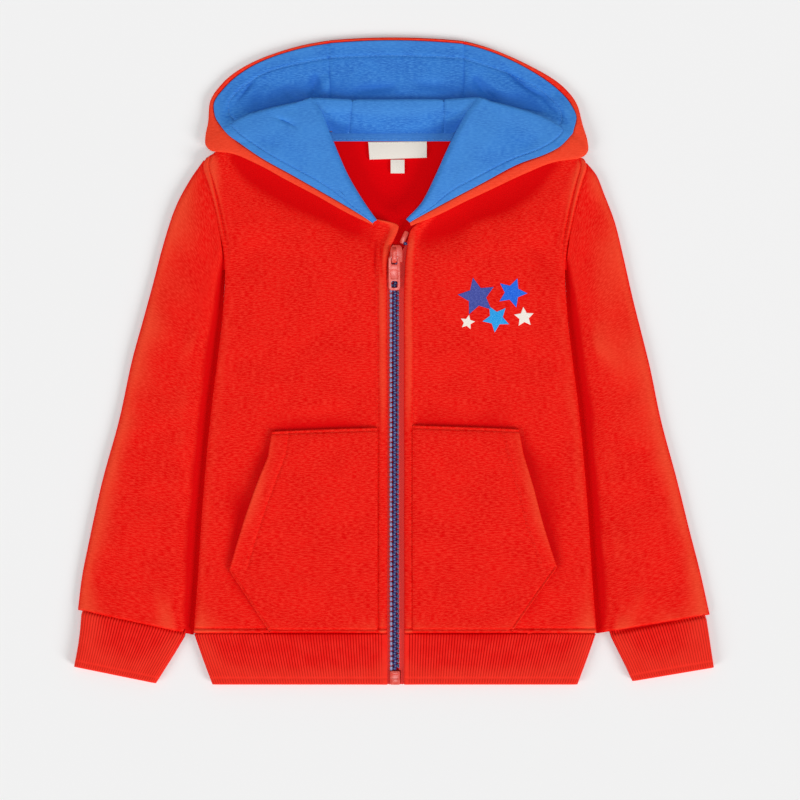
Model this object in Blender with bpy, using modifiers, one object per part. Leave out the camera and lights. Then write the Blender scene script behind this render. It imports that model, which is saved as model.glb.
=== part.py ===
"""A child's hooded zip sweatshirt, size 2 years, lying flat on its back on a surface.

+Y runs from the hem to the hood, +X to the viewer's right, +Z up; the surface is z = 0.
Sizes below are in millimetres and become metres when a mesh is made. Each cut and sewn piece
is its own wall of cloth, and neighbouring pieces keep a seam gap between them.
"""
import math
from collections import namedtuple

import bmesh
import bpy
from mathutils import Matrix, Vector

MM = 0.001
COLLECTION = "hooded_zip_sweatshirt"

# Cloth
GAP = 0.3                # left between neighbouring pieces
FLEECE = 2.0             # brushed sweatshirt fleece
JERSEY = 1.2             # hood lining
RIBBING = 2.2            # folded rib of the hem and cuffs
BINDING = 1.0            # neck tape, labels and zip tape

# Body, laid flat
BODY_HEIGHT = 7.8        # floor to the top of the front
SEAM_HEIGHT = 3.9        # height of the side seams
SIDE_ROLL = 9.0          # how far in from the side the front rounds over
UNDER_ROLL = 4.0         # the same for the back, under the side
PLACKET_RISE = 0.9       # folded front edges stand higher than the front
PLACKET_WIDTH = 13.5
PLACKET_RAMP = 4.5       # and slope down to it over this width
EDGE_DROP = 0.4          # the fold of a front edge rounds down by this much
SEAM_DIP = 0.7           # the armhole seam sinks into the cloth

# Sleeves, cuffs and hem rib
SLEEVE_HEIGHT = 7.5
SLEEVE_ROLL = 7.0
SLEEVE_GAP = 0.8         # between a sleeve and the body's side
CUFF_HEIGHT = 6.8
CUFF_ROLL = 4.5
RIB_HEIGHT = 7.2
RIB_ROLL = 6.0

# Pockets
POCKET_LIFT = 0.8        # the hand opening stands this far off the front
POCKET_SEAM_X = 13.2     # pocket's inner edge, along the placket

# Hood
HOOD_REST = 10.35        # the same where a flap lies on the front
RIDGE_TOP = 12.4         # top of the rolled inner edge of a flap
NECK_SEAM_Z = 6.5        # hood's neck seam at the fronts
SILHOUETTE = 1.35        # lining's face stands this far out from the seam surface at a fold
LAYER_GAP = 0.5          # between the lining and the shell
BAND_STEP = 1.3          # shell rises by this much past the lining's edge, to lie level with it
BAND_GAP = 0.5

# Zip
CHAIN_WIDTH = 5.8
CHAIN_THICKNESS = 2.4
CHAIN_TOP_Z = 6.5
TAPE_TOP_Z = 5.8
SLIDER_X = 1.0
HINGE_Y = 76.5
HINGE_Z = 9.45
TAB_X = -0.5
TAB_WIDTH = 8.6
TAB_THICKNESS = 1.4
TAB_TILT = math.radians(2.5)

# Half width of the body, from the hem seam up to the underarm
SideRow = namedtuple("SideRow", "y half_width")
BODY_SIDE = (
    SideRow(-201.5, 149.2),
    SideRow(-165.0, 146.4),
    SideRow(-120.0, 143.5),
    SideRow(-80.0, 140.4),
    SideRow(-35.0, 136.0),
    SideRow(5.0, 131.0),
    SideRow(35.0, 127.6),
    SideRow(66.0, 126.0),
)

# Armhole seam, from the underarm to the shoulder tip. `roll` is how much of the side's rounding
# is left, `level` falls from 1 to 0 where the front and the back meet along the shoulder.
# `mid_y` is the same row's height at the neck point, and `scoop` its dip at the back neck.
ArmRow = namedtuple("ArmRow", "y half_width mid_y scoop roll level")
ARMHOLE = (
    ArmRow(80.0, 127.2, 82.0, 0.0, 0.5, 1.0),
    ArmRow(97.0, 130.9, 104.0, 0.0, 0.0, 1.0),
    ArmRow(116.0, 134.9, 128.0, 0.0, 0.0, 1.0),
    ArmRow(132.0, 139.0, 150.0, 0.0, 0.0, 1.0),
    ArmRow(144.5, 142.2, 163.0, 0.0, 0.0, 0.8),
    ArmRow(149.5, 140.0, 170.0, 3.6, 0.0, 0.4),
    ArmRow(149.5, 140.0, 170.0, 1.6, 0.0, 0.0),
)
NECK_SIDE_X = 53.5       # neck point, where the shoulder seam starts

# Front edges and front necklines: one row for each row of BODY_SIDE, then of ARMHOLE.
# `rise` is how much of the folded placket's extra height is left.
EdgeRow = namedtuple("EdgeRow", "left_x left_y right_x right_y rise")
FRONT_EDGE = (
    EdgeRow(6.3, -201.5, 6.3, -201.5, 1.0),
    EdgeRow(6.3, -165.0, 6.3, -165.0, 1.0),
    EdgeRow(6.2, -120.0, 6.4, -120.0, 1.0),
    EdgeRow(6.2, -80.0, 6.4, -80.0, 1.0),
    EdgeRow(6.2, -35.0, 6.4, -35.0, 1.0),
    EdgeRow(6.2, 5.0, 6.4, 5.0, 1.0),
    EdgeRow(6.4, 42.0, 6.6, 40.0, 1.0),
    EdgeRow(7.6, 70.0, 8.4, 70.0, 1.0),
    EdgeRow(4.6, 84.0, 9.6, 84.0, 1.0),
    EdgeRow(-1.0, 96.0, 11.6, 94.0, 0.3),
    EdgeRow(26.8, 109.4, 26.4, 111.0, 0.0),
    EdgeRow(40.2, 134.8, 37.2, 137.5, 0.0),
    EdgeRow(50.6, 160.6, 47.4, 158.0, 0.0),
    EdgeRow(NECK_SIDE_X, 168.6, NECK_SIDE_X, 168.6, 0.0),
    EdgeRow(NECK_SIDE_X, 168.6, NECK_SIDE_X, 168.6, 0.0),
)

# How a panel rounds over at a rolled side and at a flat seam, from the edge inwards:
# distance from the edge and share of the height
RollRow = namedtuple("RollRow", "rolled rolled_share flat flat_share")
PANEL_ROLL = (
    RollRow(0.0, 0.0, 0.0, 0.0),
    RollRow(0.0, 0.3, 0.8, 0.5),
    RollRow(0.09, 0.62, 2.0, 0.85),
    RollRow(0.3, 0.87, 4.0, 1.0),
    RollRow(0.6, 0.98, 6.5, 1.0),
    RollRow(1.0, 1.0, 9.0, 1.0),
)

# Sleeves lying beside the body: where each section meets the body's side, and its outer edge
SleeveRow = namedtuple("SleeveRow", "inner_y outer_x outer_y bow")
SLEEVE_LEFT = (
    SleeveRow(66.5, 144.0, 147.0, 2.2),
    SleeveRow(58.0, 152.3, 134.0, 1.2),
    SleeveRow(48.0, 163.1, 113.4, 0.4),
    SleeveRow(36.0, 172.0, 86.1, 0.0),
    SleeveRow(20.0, 179.5, 57.4, 0.0),
    SleeveRow(2.0, 187.0, 30.0, 0.0),
    SleeveRow(-22.0, 195.2, 0.0, 0.0),
    SleeveRow(-60.0, 204.1, -41.4, 0.0),
    SleeveRow(-105.0, 217.6, -91.0, 0.0),
    SleeveRow(-147.0, 226.7, -132.5, 0.0),
    SleeveRow(-180.0, 232.5, -162.0, 0.0),
    SleeveRow(-203.0, 235.2, -184.5, 0.0),
)
SLEEVE_RIGHT = (
    SleeveRow(66.5, 144.4, 147.5, 2.2),
    SleeveRow(58.0, 155.0, 124.3, 1.2),
    SleeveRow(48.0, 163.2, 102.5, 0.4),
    SleeveRow(36.0, 169.3, 77.8, 0.0),
    SleeveRow(20.0, 176.1, 47.7, 0.0),
    SleeveRow(2.0, 182.3, 22.9, 0.0),
    SleeveRow(-22.0, 189.1, -4.4, 0.0),
    SleeveRow(-60.0, 196.7, -41.2, 0.0),
    SleeveRow(-105.0, 209.9, -91.0, 0.0),
    SleeveRow(-147.0, 218.3, -125.0, 0.0),
    SleeveRow(-178.0, 226.5, -157.0, 0.0),
    SleeveRow(-202.0, 233.4, -188.0, 0.0),
)

CuffRow = namedtuple("CuffRow", "inner_x inner_y outer_x outer_y")
CUFF_LEFT = (
    CuffRow(156.0, -204.6, 232.6, -188.0),
    CuffRow(162.5, -215.5, 233.6, -200.0),
    CuffRow(170.0, -227.5, 235.5, -213.5),
    CuffRow(177.1, -238.8, 238.0, -226.4),
)
CUFF_RIGHT = (
    CuffRow(160.4, -205.2, 231.1, -192.0),
    CuffRow(165.5, -215.5, 232.8, -203.0),
    CuffRow(171.0, -226.5, 234.6, -215.0),
    CuffRow(175.9, -237.2, 236.4, -227.0),
)

RIB = (
    SideRow(-202.6, 148.8),
    SideRow(-209.0, 146.6),
    SideRow(-222.0, 142.0),
    SideRow(-239.6, 135.4),
)

# Outer edge of each pocket: top corner, hand opening, widest corner, slanted lower seam, hem
PocketRow = namedtuple("PocketRow", "left_x left_y right_x right_y lift")
POCKET_EDGE = (
    PocketRow(91.0, -52.0, 91.5, -50.3, 0.0),
    PocketRow(93.8, -70.0, 94.8, -68.0, 0.6),
    PocketRow(102.1, -91.0, 102.1, -92.5, 1.0),
    PocketRow(110.3, -114.0, 108.8, -118.4, 1.0),
    PocketRow(116.6, -134.0, 114.5, -136.5, 0.6),
    PocketRow(122.6, -154.7, 119.9, -152.6, 0.0),
    PocketRow(108.0, -177.0, 104.0, -175.0, 0.0),
    PocketRow(93.2, -199.6, 87.0, -199.6, 0.0),
)

# Hood flaps, from the centre front up: rolled inner edge, lining's edge, rim
FlapRow = namedtuple("FlapRow", "ridge_x ridge_y edge_x edge_y rim_x rim_y")
FLAP_LEFT = (
    FlapRow(12.0, 101.4, 17.4, 100.2, 16.8, 96.8),
    FlapRow(22.9, 116.2, 33.3, 112.6, 36.6, 109.6),
    FlapRow(34.8, 137.6, 54.0, 124.7, 58.6, 120.2),
    FlapRow(42.3, 154.4, 76.2, 137.3, 82.0, 132.6),
    FlapRow(49.8, 173.2, 98.4, 149.6, 107.0, 146.4),
)
FLAP_RIGHT = (
    FlapRow(6.4, 100.4, 11.4, 99.4, 12.2, 96.2),
    FlapRow(20.1, 116.3, 28.6, 112.4, 32.2, 107.6),
    FlapRow(30.2, 137.5, 46.0, 121.6, 50.3, 116.6),
    FlapRow(37.0, 152.8, 66.0, 132.0, 70.8, 126.2),
    FlapRow(45.5, 170.5, 91.0, 145.2, 96.0, 138.0),
)

# The rest of each side of the hood, from the top of the flap over its crease and along the part
# that lies on the surface, up to the seam of the centre panel: neck seam, fold, start of the
# outer sheet, lining's edge, rim. Each place is (x, y, z).
HoodRow = namedtuple("HoodRow", "neck ridge start edge rim bow")
TUCK_LEFT = (
    HoodRow((51.4, 172.6, 5.2), (55.8, 186.5, 11.6), (65.0, 182.0, 11.6),
            (116.2, 161.7, 10.0), (125.8, 153.0, 9.4), 0.0),
    HoodRow((48.6, 171.2, 4.4), (60.0, 192.6, 11.0), (68.0, 190.4, 10.8),
            (126.6, 170.0, 8.2), (140.2, 160.2, 5.2), 2.6),
    HoodRow((47.6, 170.4, 4.0), (60.6, 193.8, 10.2), (67.5, 192.6, 6.6),
            (128.6, 171.6, 5.6), (140.6, 163.4, 4.2), 3.0),
    HoodRow((46.6, 169.9, 3.4), (60.2, 194.0, 9.8), (66.0, 194.8, 2.7),
            (130.0, 174.0, 3.4), (139.6, 170.0, 3.2), 2.0),
    HoodRow((45.6, 169.6, 3.0), (58.5, 194.0, 9.4), (63.5, 196.6, 2.5),
            (133.2, 181.0, 2.6), (138.2, 177.6, 2.6), 0.0),
    HoodRow((44.4, 169.4, 2.7), (55.0, 193.9, 9.2), (61.0, 198.0, 2.4),
            (134.4, 189.0, 2.4), (138.0, 189.4, 2.4), 0.0),
    HoodRow((42.8, 169.3, 2.5), (50.0, 193.8, 9.0), (58.0, 198.0, 2.4),
            (125.6, 203.4, 2.4), (128.6, 206.2, 2.4), 0.0),
    HoodRow((40.6, 169.2, 2.4), (44.0, 193.7, 8.9), (55.0, 197.4, 2.4),
            (102.9, 220.2, 2.4), (104.4, 223.0, 2.4), 0.0),
    HoodRow((37.8, 169.2, 2.4), (37.6, 193.6, 8.9), (51.6, 196.6, 2.4),
            (68.8, 231.9, 2.4), (69.5, 234.4, 2.4), 0.0),
    HoodRow((34.4, 169.2, 2.4), (31.6, 193.5, 8.9), (48.0, 195.8, 2.4),
            (49.4, 235.6, 2.4), (49.7, 238.0, 2.4), 0.0),
)
TUCK_RIGHT = (
    HoodRow((49.8, 170.6, 5.2), (55.5, 187.2, 11.6), (64.5, 182.6, 11.6),
            (113.0, 155.9, 10.0), (119.6, 147.4, 9.6), 0.0),
    HoodRow((47.4, 170.6, 4.4), (61.6, 193.4, 11.0), (70.0, 190.8, 10.8),
            (130.2, 168.6, 8.2), (142.8, 153.4, 6.0), 3.4),
    HoodRow((46.2, 170.2, 4.0), (62.2, 194.4, 10.2), (69.5, 193.0, 6.6),
            (131.6, 170.2, 5.6), (143.8, 158.0, 4.2), 3.8),
    HoodRow((45.2, 169.9, 3.4), (61.6, 194.6, 9.8), (68.0, 195.2, 2.7),
            (133.0, 172.6, 3.4), (142.0, 164.4, 3.2), 2.6),
    HoodRow((44.2, 169.6, 3.0), (59.8, 194.6, 9.4), (65.5, 197.0, 2.5),
            (134.6, 179.6, 2.6), (139.4, 174.8, 2.6), 0.0),
    HoodRow((43.2, 169.4, 2.7), (56.6, 194.5, 9.2), (63.0, 198.2, 2.4),
            (131.8, 189.0, 2.4), (135.6, 189.4, 2.4), 0.0),
    HoodRow((42.2, 169.3, 2.5), (52.2, 194.2, 9.0), (60.4, 198.2, 2.4),
            (122.6, 200.6, 2.4), (125.6, 203.2, 2.4), 0.0),
    HoodRow((40.8, 169.2, 2.4), (47.0, 194.0, 8.9), (57.4, 197.6, 2.4),
            (96.8, 217.8, 2.4), (98.2, 220.4, 2.4), 0.0),
    HoodRow((39.0, 169.2, 2.4), (41.8, 193.8, 8.9), (54.4, 196.8, 2.4),
            (67.0, 230.8, 2.4), (67.8, 233.2, 2.4), 0.0),
    HoodRow((36.6, 169.2, 2.4), (36.4, 193.6, 8.9), (51.2, 196.0, 2.4),
            (51.2, 235.2, 2.4), (51.3, 237.4, 2.4), 0.0),
)
TURN_ROWS = 2            # the first rows of each table still lie on top of the flap
CENTRE_BULGE = 2.4       # the rim's arc between the two seams of the centre panel
SKEW_GAP = 2.4           # seam gap inside the fold, where the seams run aslant

# Path of the zip: centre of the chain and width of each half's tape edge from it
ZipRow = namedtuple("ZipRow", "y centre left_edge right_edge left_outer right_outer")
ZIP_PATH = (
    ZipRow(-239.0, 0.0, 4.1, 4.1, 12.8, 12.8),
    ZipRow(-229.0, 0.0, 4.1, 4.1, 12.8, 12.8),
    ZipRow(-228.6, 0.0, 3.2, 3.2, 12.8, 12.8),
    ZipRow(-160.0, 0.0, 3.2, 3.2, 12.8, 12.8),
    ZipRow(-80.0, 0.0, 3.2, 3.2, 12.8, 12.8),
    ZipRow(0.0, 0.0, 3.2, 3.2, 12.8, 12.8),
    ZipRow(52.0, 0.2, 3.2, 3.2, 12.8, 12.8),
    ZipRow(78.0, 1.0, 3.4, 3.4, 12.8, 13.4),
    ZipRow(86.5, 1.6, 6.0, 6.2, 12.6, 14.4),
    ZipRow(94.5, 2.0, 7.0, 10.6, 12.0, 15.6),
)
CHAIN_ROWS = slice(2, 8)          # the rows of ZIP_PATH that the closed chain runs along

COLOURS = {
    "fleece": ((0.80, 0.022, 0.012, 1.0), 0.9, 0.0),
    "rib": ((0.78, 0.018, 0.010, 1.0), 0.9, 0.0),
    "jersey": ((0.045, 0.21, 0.63, 1.0), 0.85, 0.0),
    "label": ((0.82, 0.78, 0.72, 1.0), 0.7, 0.0),
    "zip_tape": ((0.60, 0.06, 0.06, 1.0), 0.8, 0.0),
    "zip_teeth": ((0.03, 0.05, 0.22, 1.0), 0.4, 0.0),
    "zip_plastic": ((0.75, 0.07, 0.06, 1.0), 0.35, 0.0),
}


def clear_scene():
    for thing in list(bpy.data.objects):
        bpy.data.objects.remove(thing, do_unlink=True)
    for group in list(bpy.data.collections):
        bpy.data.collections.remove(group)


def make_material(name):
    colour, roughness, metallic = COLOURS[name]
    material = bpy.data.materials.new(name)
    material.use_nodes = True
    shader = material.node_tree.nodes["Principled BSDF"]
    shader.inputs["Base Color"].default_value = colour
    shader.inputs["Roughness"].default_value = roughness
    shader.inputs["Metallic"].default_value = metallic
    return material


def lerp(a, b, t):
    return a + (b - a) * t


def unit(x, y):
    length = math.hypot(x, y)
    return x / length, y / length


def rounded(distance, reach):
    """0 at a rounded edge, 1 once `distance` in from it has passed `reach`."""
    if distance >= reach:
        return 1.0
    return math.sqrt(max(0.0, 1.0 - (1.0 - distance / reach) ** 2))


def half_width(y, table):
    """Distance of the side from the centre line at a height, read between a table's rows."""
    rows = sorted(table, key=lambda row: row.y)
    for low, high in zip(rows, rows[1:]):
        if y <= high.y:
            return lerp(low.half_width, high.half_width, (y - low.y) / (high.y - low.y))
    return rows[-1].half_width


# ---------------------------------------------------------------- meshes

def add_object(name, mesh, material, collection, parent):
    mesh.materials.append(material)
    part = bpy.data.objects.new(name, mesh)
    collection.objects.link(part)
    part.parent = parent
    return part


def add_wall(name, rows, thickness, material, collection, parent,
             closed=False, look="up"):
    """Cloth through rows of points on its outer face, thickened behind it.

    The face looks up, down or, for a tube, outwards from the middle of its rows.
    """
    cage = bmesh.new()
    grid = [[cage.verts.new(Vector(point) * MM) for point in row] for row in rows]
    count = len(rows[0])
    for first, second in zip(grid, grid[1:]):
        for i in range(count if closed else count - 1):
            j = (i + 1) % count
            cage.faces.new((first[i], first[j], second[j]))
            cage.faces.new((first[i], second[j], second[i]))
    bmesh.ops.recalc_face_normals(cage, faces=cage.faces)
    middle = sum((vert.co for vert in cage.verts), Vector()) / len(cage.verts)
    facing = 0.0
    for face in cage.faces:
        face.normal_update()
        from_middle = face.calc_center_median() - middle
        turned = {"up": face.normal.z, "down": -face.normal.z, "out": face.normal.dot(from_middle)}
        facing += turned[look] * face.calc_area()
    if facing < 0.0:
        bmesh.ops.reverse_faces(cage, faces=cage.faces)
    mesh = bpy.data.meshes.new(name)
    cage.to_mesh(mesh)
    cage.free()
    mesh.shade_smooth()
    wall = add_object(name, mesh, material, collection, parent)
    solid = wall.modifiers.new("wall", "SOLIDIFY")
    solid.thickness = thickness * MM
    solid.offset = -1.0
    return wall


def add_layer(name, face_rows, back_rows, material, collection, parent):
    """A closed wall between two grids of points, for layers that share one seam surface."""
    cage = bmesh.new()
    face = [[cage.verts.new(Vector(point) * MM) for point in row] for row in face_rows]
    back = [[cage.verts.new(Vector(point) * MM) for point in row] for row in back_rows]
    for grid in (face, back):
        for first, second in zip(grid, grid[1:]):
            for i in range(len(first) - 1):
                cage.faces.new((first[i], first[i + 1], second[i + 1]))
                cage.faces.new((first[i], second[i + 1], second[i]))
    rims = [(face[0], back[0]), (face[-1], back[-1])]
    rims += [([row[i] for row in face], [row[i] for row in back]) for i in (0, -1)]
    for above, below in rims:
        for i in range(len(above) - 1):
            cage.faces.new((above[i], above[i + 1], below[i + 1], below[i]))
    bmesh.ops.recalc_face_normals(cage, faces=cage.faces)
    mesh = bpy.data.meshes.new(name)
    cage.to_mesh(mesh)
    cage.free()
    mesh.shade_smooth()
    return add_object(name, mesh, material, collection, parent)


def add_block(name, size, centre, bevel, material, collection, parent):
    """A small moulded block with rounded edges, `size` and `centre` in millimetres."""
    bpy.ops.mesh.primitive_cube_add(size=1.0)
    block = bpy.context.object
    block.name = name
    block.data.name = name
    block.data.transform(Matrix.Diagonal((size[0] * MM, size[1] * MM, size[2] * MM, 1.0)))
    for group in list(block.users_collection):
        group.objects.unlink(block)
    collection.objects.link(block)
    block.location = Vector(centre) * MM
    block.data.materials.append(material)
    block.parent = parent
    if bevel:
        rounding = block.modifiers.new("rounding", "BEVEL")
        rounding.width = bevel * MM
        rounding.segments = 2
    return block


def add_boolean(target, tool, operation):
    cut = target.modifiers.new(operation.lower(), "BOOLEAN")
    cut.operation = operation
    cut.object = tool
    tool.hide_render = True
    tool.display_type = "WIRE"


# ---------------------------------------------------------------- body

def placket_rise(distance):
    """Extra height of a front near its folded edge, `distance` in from the edge."""
    full = PLACKET_RISE * min(1.0, max(0.0, (PLACKET_WIDTH + PLACKET_RAMP - distance) / PLACKET_RAMP))
    return full - EDGE_DROP * (1.0 - rounded(distance, 3.0))


def body_rows():
    """Side seam and armhole rows joined, the side rows with full roll and level."""
    rows = [ArmRow(row.y, row.half_width, row.y, 0.0, 1.0, 1.0) for row in BODY_SIDE]
    return rows + list(ARMHOLE)


def edge_steps(roll, reach, height):
    """Distance from a panel's outer edge, and drop below its face, at each point of its edge."""
    steps = []
    for row in PANEL_ROLL:
        distance = lerp(row.flat, row.rolled * reach, roll)
        drop = lerp(SEAM_DIP * (1.0 - row.flat_share), height * (1.0 - row.rolled_share), roll)
        steps.append((distance, drop))
    return steps


def front_rows(side):
    """Rows of points of the left (-1) or right (1) front, from the side to the front edge."""
    rows = []
    seam_z = SEAM_HEIGHT + GAP
    for row, edge in zip(body_rows(), FRONT_EDGE):
        edge_x = edge.left_x if side < 0 else edge.right_x
        edge_y = edge.left_y if side < 0 else edge.right_y
        length = math.hypot(row.half_width - edge_x, row.y - edge_y)
        steps = edge_steps(row.roll, SIDE_ROLL, BODY_HEIGHT - seam_z)
        inner = (PLACKET_WIDTH + PLACKET_RAMP, PLACKET_WIDTH, 2.8, 0.8, 0.0)
        span = length - SIDE_ROLL - inner[0]
        steps += [(SIDE_ROLL + span * t, 0.0) for t in (0.33, 0.66)]
        steps += [(length - distance, -edge.rise * placket_rise(distance)) for distance in inner]
        points = []
        for step, drop in steps:
            t = step / length
            z = lerp(seam_z, BODY_HEIGHT - drop, row.level)
            points.append((side * lerp(row.half_width, edge_x, t), lerp(row.y, edge_y, t), z))
        rows.append(points)
    return rows


def back_rows():
    """Rows of points of the back's underside, from the left side to the right."""
    rows = []
    seam_z = SEAM_HEIGHT - GAP
    for row in body_rows():
        half = [(row.half_width - distance, drop if row.roll else 0.0)
                for distance, drop in edge_steps(row.roll, UNDER_ROLL, seam_z)]
        half += [(share * row.half_width, 0.0) for share in (0.82, 0.66, 0.5)]
        half += [(x, 0.0) for x in (NECK_SIDE_X + 0.5, NECK_SIDE_X - 3.5, NECK_SIDE_X / 2)]
        points = []
        for x, lift in half + [(0.0, 0.0)] + [(-x, lift) for x, lift in reversed(half)]:
            slope = min(1.0, (row.half_width - abs(x)) / (row.half_width - NECK_SIDE_X))
            near_neck = max(0.0, 1.0 - (x / NECK_SIDE_X) ** 2)
            y = lerp(row.y, row.mid_y, slope) - row.scoop * near_neck
            shoulder = seam_z * (1.0 - row.level) if abs(x) > NECK_SIDE_X else 0.0
            points.append((x, y, max(lift, shoulder)))
        rows.append(points)
    return rows


# ---------------------------------------------------------------- sleeves, cuffs and rib

def tube_section(inner, outer, height, roll, bow=0.0, arc=3, flat=3):
    """Points round a flattened tube between its inner and its outer edge, (x, y) each."""
    width = math.hypot(outer[0] - inner[0], outer[1] - inner[1])
    along = unit(outer[0] - inner[0], outer[1] - inner[1])
    side = math.copysign(1.0, outer[0])
    across = (along[1] * side, -along[0] * side)
    quarter = [math.radians(90.0) * i / arc for i in range(arc)]
    section = [(roll * (1 - math.cos(a)), height / 2 * (1 + math.sin(a))) for a in quarter]
    section += [(lerp(roll, width - roll, i / flat), height) for i in range(flat)]
    section += [(width - roll * (1 - math.sin(a)), height / 2 * (1 + math.cos(a))) for a in quarter]
    section += [(width - s, height - z) for s, z in section]
    points = []
    for distance, z in section:
        shift = -bow * math.sin(math.pi * distance / width)
        x = inner[0] + along[0] * distance + across[0] * shift
        y = inner[1] + along[1] * distance + across[1] * shift
        points.append((x, y, z))
    return points


def sleeve_rows(side):
    rows = []
    for row in SLEEVE_LEFT if side < 0 else SLEEVE_RIGHT:
        inner_x = half_width(row.inner_y, BODY_SIDE) + SLEEVE_GAP
        inner = (side * inner_x, row.inner_y)
        outer = (side * row.outer_x, row.outer_y)
        rows.append(tube_section(inner, outer, SLEEVE_HEIGHT, SLEEVE_ROLL, row.bow))
    return rows


def cuff_rows(side):
    rows = []
    for row in CUFF_LEFT if side < 0 else CUFF_RIGHT:
        inner = (side * row.inner_x, row.inner_y)
        outer = (side * row.outer_x, row.outer_y)
        rows.append(tube_section(inner, outer, CUFF_HEIGHT, CUFF_ROLL, flat=2))
    return rows


def rib_rows():
    """Rows of points round the hem rib, from its left front end under the back to the right."""
    rows = []
    for row in RIB:
        top = []
        for distance in (0.0, 2.8, PLACKET_WIDTH, PLACKET_WIDTH + PLACKET_RAMP, 60.0):
            lift = (BODY_HEIGHT - RIB_HEIGHT) * (distance < PLACKET_WIDTH + 1.0)
            top.append((-6.3 - distance, RIB_HEIGHT + placket_rise(distance) + lift))
        for angle in (90, 60, 30, 0, -30, -60, -90):
            x = -row.half_width + RIB_ROLL * (1 - math.cos(math.radians(angle)))
            top.append((x, RIB_HEIGHT / 2 * (1 + math.sin(math.radians(angle)))))
        section = top + [(-60.0, 0.0), (0.0, 0.0), (60.0, 0.0)] + [(-x, z) for x, z in reversed(top)]
        rows.append([(x, row.y, z) for x, z in section])
    return rows


def pocket_rows(side):
    """Rows of points of a pocket, made from the front's own face moved out."""
    front_edge = FRONT_EDGE[0].left_x
    inner = [front_edge + PLACKET_WIDTH + PLACKET_RAMP, front_edge + PLACKET_WIDTH, POCKET_SEAM_X]
    rows = []
    for row in POCKET_EDGE:
        outer_x = row.left_x if side < 0 else row.right_x
        y = row.left_y if side < 0 else row.right_y
        points = []
        for x in [lerp(outer_x, inner[0], t) for t in (0.0, 0.08, 0.3, 0.6)] + inner:
            opened = POCKET_LIFT * row.lift * max(0.0, 1.0 - (outer_x - x) / 40.0) ** 3
            z = BODY_HEIGHT + placket_rise(x - front_edge) + GAP + FLEECE + opened
            points.append((side * x, y, z))
        rows.append(points)
    return rows


# ---------------------------------------------------------------- hood

def outer_sheet(start, edge, bow, steps=5):
    """Points from the start of a flap or sheet to the lining's edge, bowed sideways."""
    along = unit(edge[0] - start[0], edge[1] - start[1])
    points = []
    for i in range(1, steps + 1):
        t = i / steps
        shift = bow * math.sin(math.pi * t ** 1.3)
        x = lerp(start[0], edge[0], t) - along[1] * shift
        y = lerp(start[1], edge[1], t) + along[0] * shift
        points.append((x, y, lerp(start[2], edge[2], t)))
    return points


def flap_row(row):
    """Seam surface from the neck seam over the rolled inner edge and out to the flap's edge."""
    reach = math.hypot(row.edge_x - row.ridge_x, row.edge_y - row.ridge_y)
    out = unit(row.edge_x - row.ridge_x, row.edge_y - row.ridge_y)
    tight = min(1.0, reach / 22.0)
    neck_z = lerp(HOOD_REST, NECK_SEAM_Z, min(1.0, reach / 12.0))
    top_z = lerp(HOOD_REST + 0.8, RIDGE_TOP, tight)
    profile = (
        (1.5, neck_z),
        (0.0, lerp(neck_z, top_z, 0.38)),
        (0.4, lerp(neck_z, top_z, 0.76)),
        (2.9, top_z),
        (8.0, top_z - 0.4 * tight),
    )
    points = []
    for distance, z in profile:
        step = SILHOUETTE * tight + distance * tight
        points.append((row.ridge_x + out[0] * step, row.ridge_y + out[1] * step, z))
    edge = (row.edge_x, row.edge_y, HOOD_REST)
    sheet = outer_sheet(points[-1], edge, 0.0)
    return points + sheet, (row.rim_x, row.rim_y, HOOD_REST - 0.5 * tight)


def turn_row(row):
    """Seam surface where the flap ends: up a slope from the neck seam and out along the crease."""
    neck, ridge, top_z = row.neck, row.ridge, row.ridge[2]
    out = unit(row.edge[0] - ridge[0], row.edge[1] - ridge[1])
    points = [neck]
    points.append((lerp(neck[0], ridge[0], 0.5), lerp(neck[1], ridge[1], 0.5),
                   lerp(neck[2], top_z, 0.7)))
    for distance, z in ((0.4, lerp(neck[2], top_z, 0.9)), (2.9, top_z), (8.0, row.start[2])):
        step = SILHOUETTE + distance
        points.append((ridge[0] + out[0] * step, ridge[1] + out[1] * step, z))
    return points + outer_sheet(points[-1], row.edge, row.bow), row.rim


def tuck_row(row):
    """Seam surface from the neck seam up to the fold, down it and out to the hood's edge."""
    neck, ridge, start, edge = row.neck, row.ridge, row.start, row.edge
    points = [neck]
    for t, rise in ((0.45, 0.62), (0.84, 0.98)):
        points.append((lerp(neck[0], ridge[0], t), lerp(neck[1], ridge[1], t) - SILHOUETTE * t,
                       lerp(neck[2], ridge[2], rise)))
    points.append((ridge[0], ridge[1] - SILHOUETTE, ridge[2] - 0.3))
    half_way = lerp(ridge[2], start[2], 0.55)
    points.append((lerp(ridge[0], start[0], 0.5), lerp(ridge[1], start[1], 0.45), half_way))
    sheet = [start] + outer_sheet(start, edge, row.bow, steps=4)
    return points + sheet, row.rim


def hood_side(side):
    """Rows of the seam surface and of the rim for one side of the hood."""
    flaps = FLAP_LEFT if side < 0 else FLAP_RIGHT
    tucks = TUCK_LEFT if side < 0 else TUCK_RIGHT
    made = [flap_row(row) for row in flaps]
    made += [turn_row(row) for row in tucks[:TURN_ROWS]]
    made += [tuck_row(row) for row in tucks[TURN_ROWS:]]
    rows = [[(side * x, y, z) for x, y, z in points] for points, _ in made]
    rims = [(side * x, y, z) for _, (x, y, z) in made]
    return rows, rims


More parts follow.
